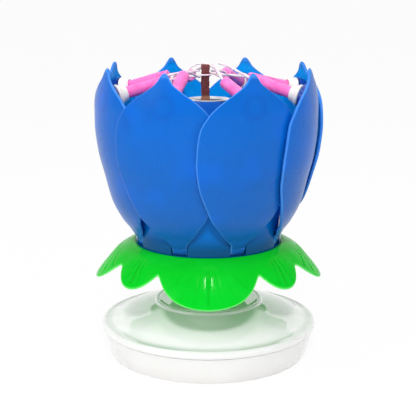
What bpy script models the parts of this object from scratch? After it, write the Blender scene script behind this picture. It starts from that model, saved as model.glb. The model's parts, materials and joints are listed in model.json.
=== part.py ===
"""Musical birthday candle in the shape of a closed lotus flower.

Eight hinged petals carry a candle each.  They stand closed round a central
sparkler on a turning head, and the round base below holds the motor, the
melody board and its cells.  Lengths are in metres, +Z is up, the front faces
-Y, and the origin is the middle of the base's resting face.
"""
import math

import bmesh
import bpy
import numpy as np
from mathutils import Matrix, Vector

# General
FIT = 0.0003
CUT_OVERRUN = 0.004
FUSE_OVERLAP = 0.0004

# Base body: a shallow tapered tub
BASE_FOOT_RADIUS = 0.0350
BASE_SEAM_RADIUS = 0.0377
BASE_BODY_HEIGHT = 0.0093
BASE_WALL = 0.0015
BASE_FLOOR = 0.0022
FOOT_RIM_WIDTH = 0.0026
FOOT_RIM_HEIGHT = 0.0008
BASE_BULGE_SHARES = [(0.0, 0.0), (0.13, 0.24), (0.5, 0.66), (1.0, 1.0)]

# Base lid: rim, shallow dome and collar
LID_RIM_RADIUS = 0.0383
LID_RIM_HEIGHT = 0.0024
LID_RIM_WIDTH = 0.0020
LID_DOME_RISE = 0.0062
LID_WALL = 0.0015
LID_LIP_DEPTH = 0.0022
LID_LIP_WALL = 0.0010
COLLAR_RADIUS = 0.0190
COLLAR_WIDTH = 0.0009
COLLAR_HEIGHT = 0.0011
COLLAR_FLOOR_DROP = 0.0012
DOME_SHARES = [(0.0, 0.0), (0.34, 0.45), (0.67, 0.79), (1.0, 1.0)]

# Turning head: spindle, bush and gear
SHAFT_RADIUS = 0.0040
SHAFT_FOOT_HEIGHT = 0.0066
PIVOT_RADIUS = 0.0022
PIVOT_ENGAGEMENT = 0.0032
BUSH_WALL = 0.0018
BUSH_FLANGE = 0.0012
BUSH_FLANGE_HEIGHT = 0.0008
TURNTABLE_HEIGHT = 0.0012
NECK_RADIUS = 0.0080
NECK_HEIGHT = 0.0146
NECK_FLANGE_RADIUS = 0.0125
NECK_FLANGE_HEIGHT = 0.0014

# Gear pair
GEAR_MODULE = 0.0010
GEAR_TEETH = 24
PINION_TEETH = 8
GEAR_HEIGHT = 0.0018
GEAR_BACKLASH_SHARE = 0.30
GEAR_ADDENDUM_SHARE = 0.8
GEAR_DEDENDUM_SHARE = 1.1
GEAR_LEVEL = 0.0112
GEAR_HUB_WALL = 0.0016
PINION_HUB_WALL = 0.0007
GEAR_HUB_HEIGHT = 0.0012
PINION_SHAFT_RADIUS = 0.0008

# Calyx: a green skirt with eight lobes round a cup
CALYX_WALL = 0.0011
CALYX_LIP_OVERHANG = 0.0010
CALYX_LIP_HEIGHT = 0.0063
CALYX_LOBE_REACH = 0.0138
CALYX_SKIRT_DROP = 0.0136
SKIRT_RADIUS_SHARES = [0.0, 0.217, 0.42, 0.609, 0.775, 0.906, 1.0]
SKIRT_DROP_SHARES = [0.0, 0.096, 0.235, 0.449, 0.662, 0.853, 1.0]
LARGE_LOBES = 4
LARGE_LOBE_HALF_ANGLE = math.radians(29.5)
SMALL_LOBE_REACH_SHARE = 0.75
NOTCH_REACH_SHARE = 0.44
LOBE_ROUNDNESS_SHARE = 0.90
CALYX_COLUMNS = 48

# Receptacle: the slotted bowl that the petals hinge in
BOWL_RADIUS = 0.0258
BOWL_WALL = 0.0012
BOWL_FLOOR = 0.0013
BOWL_DEPTH = 0.0196
BOWL_BAND_WALL = 0.0034
BOWL_BAND_HEIGHT = 0.0040
BOWL_RIM_CHAMFER = 0.0004
BOWL_RIM_FLARE = 0.0018
BOWL_WAIST_INSET = 0.0007
PETAL_TURN = math.radians(0.2)
PETALS = 8
SLOT_SIDE_GAP = 0.0004
SLOT_FOOT_GAP = 0.0007
TUBE_SOCKET_HEIGHT = 0.0045
TUBE_SOCKET_WALL = 0.0013
HUB_SCREW_RADIUS = 0.0012
HUB_SCREW_HEAD_RADIUS = 0.0024
HUB_SCREW_HEAD_HEIGHT = 0.0013
HUB_SCREW_DEPTH = 0.0060

# Petal hinge
HINGE_INSET = 0.0019
HINGE_RISE = 0.0073
BARREL_RADIUS = 0.0016
PIN_RADIUS = 0.0007
PIN_REACH = 0.0010
STEM_WIDTH = 0.0046

# Petal: width and bulge past the bowl's side as shares, over its length
PETAL_LENGTH = 0.0593
PETAL_WIDTH = 0.0374
PETAL_BULGE = 0.0122
PETAL_WALL = 0.0011
PETAL_LAP_STEP = 0.0019
PETAL_BULGE_SHARES = [(0.0, -0.066), (0.03, 0.033), (0.061, 0.115), (0.105, 0.279), (0.2125, 0.549),
                      (0.364, 0.746), (0.514, 0.925), (0.669, 1.0), (0.764, 1.0), (0.877, 0.942), (1.0, 0.838)]
PETAL_WIDTH_SHARES = [(0.0, 0.123), (0.025, 0.135), (0.040, 0.190), (0.068, 0.280), (0.13, 0.455), (0.20, 0.640),
                      (0.245, 0.715), (0.36, 0.878), (0.44, 0.952), (0.53, 0.995), (0.62, 0.99), (0.70, 0.95),
                      (0.78, 0.808), (0.84, 0.61), (0.90, 0.332), (0.942, 0.150), (0.975, 0.062), (1.0, 0.02)]
PETAL_ROW_SHARES = [0.0, 0.026, 0.068, 0.13, 0.22, 0.38, 0.56, 0.70, 0.80, 0.90, 0.95, 1.0]
PETAL_COLUMNS = 5

# Candle boss, holder and candle
BOSS_RADIUS = 0.0041
BOSS_HEIGHT = 0.0040
BOSS_BELOW_TIP = 0.0106
CANDLE_TILT = math.radians(15)
HOLDER_FLARE_RADIUS = 0.0038
HOLDER_NOSE_RADIUS = 0.0030
HOLDER_LENGTH = 0.0034
HOLDER_SOCKET_DEPTH = 0.0020
HOLDER_FLARE_SHARES = [(0.0, 1.0), (0.14, 0.95), (0.5, 0.28), (1.0, 0.0)]
CANDLE_RADIUS = 0.0021
CANDLE_VISIBLE_LENGTH = 0.0150
CANDLE_END_CHAMFER = 0.0003

# Wick
WICK_RADIUS = 0.00040
WICK_END_RADIUS = 0.0035
WICK_RISE = 0.0030
WICK_POINTS = 5
WICK_SIDES = 6

# Central sparkler, fuse and tie thread
TUBE_RADIUS = 0.0076
TUBE_WALL = 0.0012
TUBE_BELOW_BOSS = 0.0013
TUBE_FLOOR = 0.0012
CHARGE_CROWN_DROP = 0.0009
FUSE_WIDTH = 0.0030
FUSE_THICKNESS = 0.0012
FUSE_LENGTH = 0.0125
FUSE_OFFSET = -0.0011
THREAD_RADIUS = 0.00028
THREAD_BELOW_FUSE_TOP = 0.0031
KNOT_RADIUS = 0.0006

# Star spring: one finger behind every petal
SPRING_SHEET = 0.0004
SPRING_RING_WIDTH = 0.0035
SPRING_FINGER_WIDTH = 0.0026

# Battery bay
CELL_RADIUS = 0.0058
CELL_THICKNESS = 0.0054
CELL_BEVEL = 0.0004
CELLS = 2
BAY_DISTANCE = 0.0201
BAY_WALL = 0.0012
CONTACT_SHEET = 0.0004
CONTACT_SPRING_DEPTH = 0.0016
DOOR_LENGTH = 0.0220
DOOR_WIDTH = 0.0130
DOOR_THICKNESS = 0.0010
DOOR_LEDGE = 0.0010
DOOR_CORNER = 0.0015
DOOR_SCREW_RADIUS = 0.0010
DOOR_SCREW_HEAD_RADIUS = 0.0018
DOOR_SCREW_HEAD_HEIGHT = 0.0006
DOOR_SCREW_INSET = 0.0026
DOOR_SCREW_LENGTH = 0.0036
DOOR_POST_WALL = 0.0011

# Motor
MOTOR_RADIUS = 0.0050
MOTOR_FLAT = 0.0040
MOTOR_HEIGHT = 0.0068
MOTOR_AZIMUTH = math.radians(0)
CRADLE_WALL = 0.0011
CRADLE_HEIGHT = 0.0040

# Melody board, speaker and switch
BOARD_LENGTH = 0.0220
BOARD_WIDTH = 0.0110
BOARD_THICKNESS = 0.0012
BOARD_DISTANCE = 0.0205
BOARD_POST_RADIUS = 0.0013
BOARD_POST_HEIGHT = 0.0038
BOARD_POST_INSET = 0.0022
CHIP_RADIUS = 0.0034
CHIP_HEIGHT = 0.0011
SPEAKER_RADIUS = 0.0090
SPEAKER_THICKNESS = 0.0006
SPEAKER_CERAMIC_SHARE = 0.70
SPEAKER_DISTANCE = 0.0215
SPEAKER_AZIMUTH = math.radians(172)
SPEAKER_SEAT_HEIGHT = 0.0012
SPEAKER_SEAT_WALL = 0.0012
SOUND_HOLE_RADIUS = 0.0009
SOUND_HOLES = 5
SWITCH_TRAVEL = 0.0025
SWITCH_BLOCK_LENGTH = 0.0060
SWITCH_BLOCK_WIDTH = 0.0040
SWITCH_BLOCK_HEIGHT = 0.0018
SWITCH_KNOB_LENGTH = 0.0030
SWITCH_KNOB_WIDTH = 0.0022
SWITCH_RECESS = 0.0002

# Lid screws
LID_SCREWS = 2
LID_SCREW_INSET = 0.0050
LID_SCREW_AZIMUTH = math.radians(28)
LID_SCREW_RADIUS = 0.0010
LID_SCREW_HEAD_RADIUS = 0.0019
LID_SCREW_HEAD_HEIGHT = 0.0008
LID_SCREW_REACH = 0.0042
LID_POST_RADIUS = 0.0022

# Facets
BASE_SEGMENTS = 40
BOWL_SEGMENTS = 32
SMALL_SEGMENTS = 12
TUBE_SEGMENTS = 20
CANDLE_SEGMENTS = 9
SLOPE_STEP_SHARE = 0.01

# Heights that follow from the sizes above
FLOOR_TOP = FOOT_RIM_HEIGHT + BASE_FLOOR
LID_FOOT = BASE_BODY_HEIGHT + FIT
LID_RIM_TOP = LID_FOOT + LID_RIM_HEIGHT
DOME_TOP = LID_RIM_TOP + LID_DOME_RISE
COLLAR_TOP = DOME_TOP + COLLAR_HEIGHT
COLLAR_FLOOR = DOME_TOP - COLLAR_FLOOR_DROP
BUSH_TOP = COLLAR_FLOOR + BUSH_FLANGE_HEIGHT + FIT
TURNTABLE_FOOT = BUSH_TOP + FIT
TURNTABLE_TOP = TURNTABLE_FOOT + TURNTABLE_HEIGHT
NECK_TOP = TURNTABLE_TOP + NECK_HEIGHT
CALYX_FLOOR_FOOT = NECK_TOP + FIT
CALYX_FLOOR_TOP = CALYX_FLOOR_FOOT + CALYX_WALL
CALYX_LIP_TOP = CALYX_FLOOR_FOOT + CALYX_LIP_HEIGHT
BOWL_FOOT = CALYX_FLOOR_TOP + FIT
BOWL_FLOOR_TOP = BOWL_FOOT + BOWL_FLOOR
BOWL_RIM = BOWL_FOOT + BOWL_DEPTH
BOWL_RIM_RADIUS = BOWL_RADIUS + BOWL_RIM_FLARE
HINGE_HEIGHT = BOWL_FOOT + HINGE_RISE
HINGE_RADIUS = BOWL_RADIUS - HINGE_INSET
CALYX_LIP_RADIUS = BOWL_RADIUS + CALYX_LIP_OVERHANG
TUBE_FOOT = BOWL_FLOOR_TOP + FIT
BOSS_LEVEL = HINGE_HEIGHT + PETAL_LENGTH - BOSS_BELOW_TIP
TUBE_TOP = BOSS_LEVEL - TUBE_BELOW_BOSS
CHARGE_TOP = TUBE_TOP - CHARGE_CROWN_DROP
FUSE_FOOT = CHARGE_TOP + FIT
FUSE_TOP = FUSE_FOOT + FUSE_LENGTH
CANDLE_LENGTH = CANDLE_VISIBLE_LENGTH + HOLDER_SOCKET_DEPTH - FIT
LID_SCREW_CIRCLE = BASE_FOOT_RADIUS - LID_SCREW_INSET
GEAR_DISTANCE = GEAR_MODULE * (GEAR_TEETH + PINION_TEETH) / 2
BOARD_FOOT = FLOOR_TOP + BOARD_POST_HEIGHT + FIT


def clear_scene():
    """Removes every object that the file opens with."""
    for obj in list(bpy.data.objects):
        bpy.data.objects.remove(obj, do_unlink=True)


def material(name, colour, roughness, metallic=0.0):
    """One Principled material in a piece's own colour."""
    mat = bpy.data.materials.get(name)
    if mat:
        return mat
    mat = bpy.data.materials.new(name)
    mat.use_nodes = True
    shader = mat.node_tree.nodes["Principled BSDF"]
    shader.inputs["Base Color"].default_value = (*colour, 1.0)
    shader.inputs["Roughness"].default_value = roughness
    shader.inputs["Metallic"].default_value = metallic
    return mat


def petal_blue():
    return material("petal_blue", (0.018, 0.16, 0.68), 0.22)


def bowl_blue():
    return material("bowl_blue", (0.006, 0.10, 0.34), 0.2)


def leaf_green():
    return material("leaf_green", (0.0, 0.64, 0.015), 0.25)


def shell_white():
    return material("shell_white", (0.86, 0.88, 0.85), 0.2)


def holder_cream():
    return material("holder_cream", (0.9, 0.87, 0.8), 0.3)


def wax_pink():
    return material("wax_pink", (1.0, 0.2, 0.6), 0.4)


def wick_white():
    return material("wick_white", (0.85, 0.74, 0.76), 0.6)


def fuse_brown():
    return material("fuse_brown", (0.12, 0.025, 0.03), 0.8)


def paper_white():
    return material("paper_white", (0.8, 0.78, 0.74), 0.7)


def spring_steel():
    return material("spring_steel", (0.6, 0.6, 0.62), 0.3, 1.0)


def brass():
    return material("brass", (0.8, 0.6, 0.28), 0.3, 1.0)


def gear_white():
    return material("gear_white", (0.85, 0.85, 0.82), 0.4)


def board_green():
    return material("board_green", (0.02, 0.2, 0.06), 0.5)


def chip_black():
    return material("chip_black", (0.01, 0.01, 0.012), 0.35)


def finish(obj, mat, sharp_angle=math.radians(35)):
    """Smooth shading with sharp edges, and the piece's material."""
    obj.data.materials.clear()
    obj.data.materials.append(mat)
    obj.data.shade_smooth()
    obj.data.set_sharp_from_angle(angle=sharp_angle)
    return obj


def mesh_object(name, bm, mat):
    """Turns a bmesh into an object whose faces point out."""
    bmesh.ops.recalc_face_normals(bm, faces=bm.faces)
    mesh = bpy.data.meshes.new(name)
    bm.to_mesh(mesh)
    bm.free()
    obj = bpy.data.objects.new(name, mesh)
    bpy.context.collection.objects.link(obj)
    return finish(obj, mat)


def interpolate(shares, at):
    """Smooth curve through (place, value) shares that never overshoots them."""
    x = np.array([share[0] for share in shares])
    y = np.array([share[1] for share in shares])
    slopes = np.diff(y) / np.diff(x)
    middle = np.where(slopes[:-1] * slopes[1:] > 0,
                      2 * slopes[:-1] * slopes[1:] / (slopes[:-1] + slopes[1:] + 1e-12), 0)
    tangents = np.concatenate([slopes[:1], middle, slopes[-1:]])
    k = min(max(int(np.searchsorted(x, at)) - 1, 0), len(x) - 2)
    width = x[k + 1] - x[k]
    t = (at - x[k]) / width
    start = (1 + 2 * t) * (1 - t) ** 2 * y[k] + t * (1 - t) ** 2 * width * tangents[k]
    end = t * t * (3 - 2 * t) * y[k + 1] + t * t * (t - 1) * width * tangents[k + 1]
    return float(start + end)


def revolve(name, profile, segments, mat):
    """Turns a closed (radius, height) outline about Z; a zero radius is one point."""
    bm = bmesh.new()
    rings = []
    for radius, height in profile:
        if radius == 0:
            rings.append([bm.verts.new((0, 0, height))])
            continue
        turn = [2 * math.pi * i / segments for i in range(segments)]
        rings.append([bm.verts.new((radius * math.cos(a), radius * math.sin(a), height)) for a in turn])
    for ring, following in zip(rings, rings[1:] + rings[:1]):
        skin(bm, ring, following)
    return mesh_object(name, bm, mat)


def skin(bm, ring, following):
    """Faces between two closed rings, either of which may be a single point."""
    count = max(len(ring), len(following))
    if count == 1:
        return
    for i in range(count):
        j = (i + 1) % count
        corners = [ring[i % len(ring)], ring[j % len(ring)],
                   following[j % len(following)], following[i % len(following)]]
        unique = [v for n, v in enumerate(corners) if v not in corners[:n]]
        bm.faces.new(unique)


def prism(name, outline, low, high, mat):
    """An outline in X and Y, raised from low to high."""
    bm = bmesh.new()
    bottom = [bm.verts.new((x, y, low)) for x, y in outline]
    top = [bm.verts.new((x, y, high)) for x, y in outline]
    bm.faces.new(bottom)
    bm.faces.new(top)
    skin(bm, bottom, top)
    return mesh_object(name, bm, mat)


def rounded_outline(centre, length, width, corner, steps=3):
    """A rectangle with round corners, about a centre."""
    points = []
    for quarter, (sx, sy) in enumerate([(1, 1), (-1, 1), (-1, -1), (1, -1)]):
        cx = centre[0] + sx * (length / 2 - corner)
        cy = centre[1] + sy * (width / 2 - corner)
        for i in range(steps + 1):
            angle = math.pi / 2 * (quarter + i / steps)
            points.append((cx + corner * math.cos(angle), cy + corner * math.sin(angle)))
    return points


def box_outline(centre, length, width):
    """A plain rectangle about a centre."""
    x, y = centre
    return [(x + length / 2, y + width / 2), (x - length / 2, y + width / 2),
            (x - length / 2, y - width / 2), (x + length / 2, y - width / 2)]


def circle_outline(centre, radius, segments=SMALL_SEGMENTS):
    """A round outline about a centre."""
    turn = [2 * math.pi * i / segments for i in range(segments)]
    return [(centre[0] + radius * math.cos(a), centre[1] + radius * math.sin(a)) for a in turn]


def disc(name, centre, radius, low, high, mat, segments=SMALL_SEGMENTS):
    """An upright cylinder."""
    return prism(name, circle_outline(centre, radius, segments), low, high, mat)


def combine(target, others, operation):
    """Applies an exact boolean between a piece and helper pieces, which it uses up."""
    for other in others:
        modifier = target.modifiers.new(operation, "BOOLEAN")
        modifier.operation = operation
        modifier.solver = "EXACT"
        modifier.object = other
        other.hide_render = True
        other.display_type = "WIRE"
    bpy.context.view_layer.update()
    graph = bpy.context.evaluated_depsgraph_get()
    mesh = bpy.data.meshes.new_from_object(target.evaluated_get(graph))
    mat = target.data.materials[0]
    target.modifiers.clear()
    target.data = mesh
    for other in others:
        bpy.data.objects.remove(other, do_unlink=True)
    tidy_mesh(mesh)
    return finish(target, mat)


def tidy_mesh(mesh, merge=0.000001):
    """Merges the slivers that a boolean leaves."""
    bm = bmesh.new()
    bm.from_mesh(mesh)
    bmesh.ops.remove_doubles(bm, verts=bm.verts, dist=merge)
    bmesh.ops.triangulate(bm, faces=[face for face in bm.faces if len(face.verts) > 4])
    bmesh.ops.recalc_face_normals(bm, faces=bm.faces)
    bm.to_mesh(mesh)
    bm.free()


def cut(target, cutters):
    return combine(target, cutters, "DIFFERENCE")


def fuse(target, pieces):
    return combine(target, pieces, "UNION")


def around(radius, azimuth):
    """A place in plan, by radius and azimuth."""
    return (radius * math.cos(azimuth), radius * math.sin(azimuth))


def petal_azimuth(index):
    """Azimuth of a petal's middle; the first stands right of the front."""
    return -math.pi / 2 + PETAL_TURN + 2 * math.pi / PETALS * (index + 0.5)


def base_side_radius(height):
    """Outer radius of the base body at a height."""
    share = interpolate(BASE_BULGE_SHARES, height / BASE_BODY_HEIGHT)
    return BASE_FOOT_RADIUS + share * (BASE_SEAM_RADIUS - BASE_FOOT_RADIUS)


def cell_bay_length():
    """Room for the row of cells and both contacts."""
    return CELLS * (CELL_THICKNESS + FIT) + CONTACT_SPRING_DEPTH + CONTACT_SHEET + 3 * FIT


def bay_centre():
    return (0, -BAY_DISTANCE)


def motor_centre():
    return around(GEAR_DISTANCE, MOTOR_AZIMUTH)


def board_centre():
    return (0, BOARD_DISTANCE)


def speaker_centre():
    return around(SPEAKER_DISTANCE, SPEAKER_AZIMUTH)


def switch_centre():
    return (board_centre()[0] - SWITCH_TRAVEL / 2, board_centre()[1])


def lid_screw_places():
    return [around(LID_SCREW_CIRCLE, LID_SCREW_AZIMUTH + 2 * math.pi * i / LID_SCREWS) for i in range(LID_SCREWS)]


def door_screw_place():
    x, y = bay_centre()
    return (x + DOOR_LENGTH / 2 - DOOR_SCREW_INSET, y)


def make_base_body():
    """Tub with battery bay, motor cradle, board posts, speaker seat and pivot."""
    heights = [share[0] * BASE_BODY_HEIGHT for share in BASE_BULGE_SHARES]
    outer = [(base_side_radius(z), z) for z in heights]
    inner = [(base_side_radius(z) - BASE_WALL, z) for z in reversed(heights) if z > FLOOR_TOP]
    inner_foot = base_side_radius(FLOOR_TOP) - BASE_WALL
    profile = outer + inner + [(inner_foot, FLOOR_TOP), (0, FLOOR_TOP), (0, FOOT_RIM_HEIGHT),
                               (BASE_FOOT_RADIUS - FOOT_RIM_WIDTH, FOOT_RIM_HEIGHT),
                               (BASE_FOOT_RADIUS - FOOT_RIM_WIDTH, 0)]
    body = revolve("base_body", profile, BASE_SEGMENTS, shell_white())
    fuse(body, base_body_fittings())
    return cut(body, base_body_openings())


def base_body_fittings():
    """Upright walls and posts on the floor of the tub."""
    mat = shell_white()
    low = FLOOR_TOP - FUSE_OVERLAP
    bay_x, bay_y = bay_centre()
    end = cell_bay_length() / 2 + BAY_WALL / 2
    wall_width = 2 * CELL_RADIUS
    bay_top = FLOOR_TOP + FIT + CELL_RADIUS + CELL_RADIUS / 2
    pieces = [prism("bay_wall", box_outline((bay_x + side * end, bay_y), BAY_WALL, wall_width), low, bay_top, mat)
              for side in (-1, 1)]
    pivot_top = SHAFT_FOOT_HEIGHT + PIVOT_ENGAGEMENT
    pieces.append(disc("pivot", (0, 0), PIVOT_RADIUS, low, pivot_top, mat))
    pieces.append(disc("thrust_seat", (0, 0), SHAFT_RADIUS, low, SHAFT_FOOT_HEIGHT - FIT, mat))
    pieces += motor_cradle(low)
    for side in (-1, 1):
        x = board_centre()[0] + side * (BOARD_LENGTH / 2 - BOARD_POST_INSET)
        pieces.append(disc("board_post", (x, board_centre()[1]), BOARD_POST_RADIUS,
                           low, FLOOR_TOP + BOARD_POST_HEIGHT, mat, SMALL_SEGMENTS // 2))
    seat_top = FLOOR_TOP + SPEAKER_SEAT_HEIGHT
    seat_inner = SPEAKER_RADIUS - SPEAKER_SEAT_WALL
    seat = revolve("speaker_seat", [(seat_inner, low), (SPEAKER_RADIUS, low), (SPEAKER_RADIUS, seat_top),
                                    (seat_inner, seat_top)], TUBE_SEGMENTS, mat)
    seat.data.transform(Matrix.Translation((*speaker_centre(), 0)))
    pieces.append(seat)
    post_radius = DOOR_SCREW_RADIUS + FIT + DOOR_POST_WALL
    pieces.append(disc("door_post", door_screw_place(), post_radius, low, door_post_top(), mat))
    return pieces


def door_post_top():
    """The door screw's post reaches a little past the screw's tip."""
    return FOOT_RIM_HEIGHT + DOOR_SCREW_LENGTH + DOOR_POST_WALL


def motor_cradle(low):
    """Two curved walls that hold the motor by its flats."""
    mat = shell_white()
    x, y = motor_centre()
    height = FLOOR_TOP + CRADLE_HEIGHT
    offset = MOTOR_FLAT + FIT + CRADLE_WALL / 2
    return [prism("cradle", box_outline((x, y + side * offset), MOTOR_RADIUS, CRADLE_WALL), low, height, mat)
            for side in (-1, 1)]


def base_body_openings():
    """Cutters for the door, the switch slot, the sound holes and the screw holes."""
    mat = shell_white()
    low = -CUT_OVERRUN
    door_roof = FOOT_RIM_HEIGHT + DOOR_THICKNESS + FIT
    outline = rounded_outline(bay_centre(), DOOR_LENGTH + 2 * FIT, DOOR_WIDTH + 2 * FIT, DOOR_CORNER)
    cutters = [prism("door_recess", outline, low, door_roof, mat)]
    ledge = cell_bay_length()
    cutters.append(prism("door_opening", box_outline(bay_centre(), ledge, DOOR_WIDTH - 2 * DOOR_LEDGE),
                         low, FLOOR_TOP + CELL_RADIUS / 2, mat))
    cutters.append(disc("door_screw_hole", door_screw_place(), DOOR_SCREW_RADIUS + FIT,
                        low, FOOT_RIM_HEIGHT + DOOR_SCREW_LENGTH + FIT, mat))
    slot_length = SWITCH_KNOB_LENGTH + SWITCH_TRAVEL + 2 * FIT
    cutters.append(prism("switch_slot", box_outline(board_centre(), slot_length, SWITCH_KNOB_WIDTH + 2 * FIT),
                         low, FLOOR_TOP + CUT_OVERRUN / 2, mat))
    x, y = speaker_centre()
    for i in range(SOUND_HOLES):
        dx, dy = around(SPEAKER_RADIUS / 2, 2 * math.pi * i / SOUND_HOLES)
        cutters.append(disc("sound_hole", (x + dx, y + dy), SOUND_HOLE_RADIUS, low, FLOOR_TOP + CUT_OVERRUN, mat,
                            SMALL_SEGMENTS // 2))
    for place in lid_screw_places():
        cutters.append(disc("screw_hole", place, LID_SCREW_RADIUS + FIT, low, FLOOR_TOP + CUT_OVERRUN, mat))
        cutters.append(disc("screw_sink", place, LID_SCREW_HEAD_RADIUS + FIT, low,
                            FOOT_RIM_HEIGHT + LID_SCREW_HEAD_HEIGHT, mat))
    return cutters


def dome_height(radius):
    """Height of the lid's dome over a radius."""
    outer = LID_RIM_RADIUS - LID_RIM_WIDTH
    share = (outer - radius) / (outer - COLLAR_RADIUS)
    return LID_RIM_TOP + LID_DOME_RISE * interpolate(DOME_SHARES, min(max(share, 0), 1))


def make_base_lid():
    """Rim, dome and collar in one moulding, with posts for the screws."""
    step = LID_RIM_RADIUS - LID_RIM_WIDTH
    edge = LID_RIM_HEIGHT / 4
    lip_outer = BASE_SEAM_RADIUS - BASE_WALL - FIT
    lip_outer_low = base_side_radius(LID_FOOT - LID_LIP_DEPTH) - BASE_WALL - FIT
    dome_radii = [step + share * (COLLAR_RADIUS - step) for share, _ in DOME_SHARES]
    bush_hole = SHAFT_RADIUS + FIT + BUSH_WALL + FIT
    collar_inner = COLLAR_RADIUS - COLLAR_WIDTH
    outer = [(BASE_SEAM_RADIUS, LID_FOOT), (LID_RIM_RADIUS, LID_FOOT + edge),
             (LID_RIM_RADIUS, LID_RIM_TOP - edge), (LID_RIM_RADIUS - edge, LID_RIM_TOP),
             (step + edge, LID_RIM_TOP)]
    outer += [(r, dome_height(r)) for r in dome_radii]
    outer += [(COLLAR_RADIUS, COLLAR_TOP - edge / 2), (COLLAR_RADIUS - edge / 2, COLLAR_TOP),
              (collar_inner, COLLAR_TOP), (collar_inner, COLLAR_FLOOR), (bush_hole, COLLAR_FLOOR)]
    under = [(bush_hole, COLLAR_FLOOR - LID_WALL), (collar_inner, COLLAR_FLOOR - LID_WALL)]
    under += [(r, dome_height(r) - LID_WALL) for r in dome_radii[1:2]]
    lip_inner = lip_outer_low - LID_LIP_WALL
    under += [(lip_inner, LID_FOOT), (lip_inner, LID_FOOT - LID_LIP_DEPTH),
              (lip_outer_low, LID_FOOT - LID_LIP_DEPTH), (lip_outer, LID_FOOT)]
    lid = revolve("base_lid", outer + under, BASE_SEGMENTS, shell_white())
    posts = [disc("post", place, LID_POST_RADIUS, FLOOR_TOP + FIT, dome_height(LID_SCREW_CIRCLE) - LID_WALL / 2,
                  shell_white(), SMALL_SEGMENTS // 2) for place in lid_screw_places()]
    fuse(lid, posts)
    tip = FLOOR_TOP + FIT + LID_SCREW_REACH + FIT
    holes = [disc("hole", place, LID_SCREW_RADIUS + FIT, 0, tip, shell_white(), SMALL_SEGMENTS // 2)
             for place in lid_screw_places()]
    return cut(lid, holes)


def make_lid_screws():
    """The screws that hold the lid from below."""
    head = FOOT_RIM_HEIGHT
    seat = head + LID_SCREW_HEAD_HEIGHT - FIT
    tip = FLOOR_TOP + LID_SCREW_REACH
    profile = [(0, head), (LID_SCREW_HEAD_RADIUS, head), (LID_SCREW_HEAD_RADIUS, seat), (LID_SCREW_RADIUS, seat),
               (LID_SCREW_RADIUS, tip), (0, tip)]
    for index, place in enumerate(lid_screw_places()):
        bm = bmesh.new()
        turned_piece(bm, profile, Matrix.Translation((*place, 0)), SMALL_SEGMENTS // 2)
        mesh_object("lid_screw_%d" % (index + 1), bm, spring_steel())


def turned_piece(bm, profile, place, segments):
    """Adds one turned solid to a bmesh at a place."""
    rings = []
    for radius, height in profile:
        if radius == 0:
            rings.append([bm.verts.new(place @ Vector((0, 0, height)))])
            continue
        turn = [2 * math.pi * i / segments for i in range(segments)]
        rings.append([bm.verts.new(place @ Vector((radius * math.cos(a), radius * math.sin(a), height)))
                      for a in turn])
    for ring, following in zip(rings, rings[1:]):
        skin(bm, ring, following)


def make_battery_door():
    """Flat door under the cells, held by one screw."""
    outline = rounded_outline(bay_centre(), DOOR_LENGTH, DOOR_WIDTH, DOOR_CORNER)
    door = prism("battery_door", outline, FOOT_RIM_HEIGHT, FOOT_RIM_HEIGHT + DOOR_THICKNESS, shell_white())
    head = disc("head", door_screw_place(), DOOR_SCREW_HEAD_RADIUS + FIT, -CUT_OVERRUN,
                FOOT_RIM_HEIGHT + DOOR_SCREW_HEAD_HEIGHT, shell_white())
    hole = disc("hole", door_screw_place(), DOOR_SCREW_RADIUS + FIT, -CUT_OVERRUN, FLOOR_TOP, shell_white())
    return cut(door, [head, hole])


def make_door_screw():
    """Small pan-head screw of the battery door."""
    bm = bmesh.new()
    seat = FOOT_RIM_HEIGHT + DOOR_SCREW_HEAD_HEIGHT - FIT
    profile = [(0, FOOT_RIM_HEIGHT - FIT), (DOOR_SCREW_HEAD_RADIUS, FOOT_RIM_HEIGHT - FIT),
               (DOOR_SCREW_HEAD_RADIUS, seat), (DOOR_SCREW_RADIUS, seat),
               (DOOR_SCREW_RADIUS, FOOT_RIM_HEIGHT + DOOR_SCREW_LENGTH), (0, FOOT_RIM_HEIGHT + DOOR_SCREW_LENGTH)]
    turned_piece(bm, profile, Matrix.Translation((*door_screw_place(), 0)), SMALL_SEGMENTS // 2)
    return mesh_object("door_screw", bm, spring_steel())


def cell_axis_height():
    return FOOT_RIM_HEIGHT + DOOR_THICKNESS + FIT + CELL_RADIUS


def along_x(x, y, z):
    """A place whose local Z runs along the world's X."""
    return Matrix.Translation((x, y, z)) @ Matrix.Rotation(math.pi / 2, 4, "Y")


def make_cells():
    """Button cells on edge in a row, each with its rolled edge."""
    start = bay_centre()[0] - cell_bay_length() / 2 + CONTACT_SHEET + 2 * FIT
    for i in range(CELLS):
        x = start + i * (CELL_THICKNESS + FIT)
        cap = CELL_THICKNESS * 0.8
        profile = [(0, 0), (CELL_RADIUS - CELL_BEVEL, 0), (CELL_RADIUS, CELL_BEVEL),
                   (CELL_RADIUS, cap - CELL_BEVEL), (CELL_RADIUS - CELL_BEVEL, cap),
                   (CELL_RADIUS - 2 * CELL_BEVEL, cap), (CELL_RADIUS - 3 * CELL_BEVEL, CELL_THICKNESS),
                   (0, CELL_THICKNESS)]
        bm = bmesh.new()
        turned_piece(bm, profile, along_x(x, bay_centre()[1], cell_axis_height()), SMALL_SEGMENTS + 4)
        mesh_object("button_cell_%d" % (i + 1), bm, spring_steel())


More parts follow.
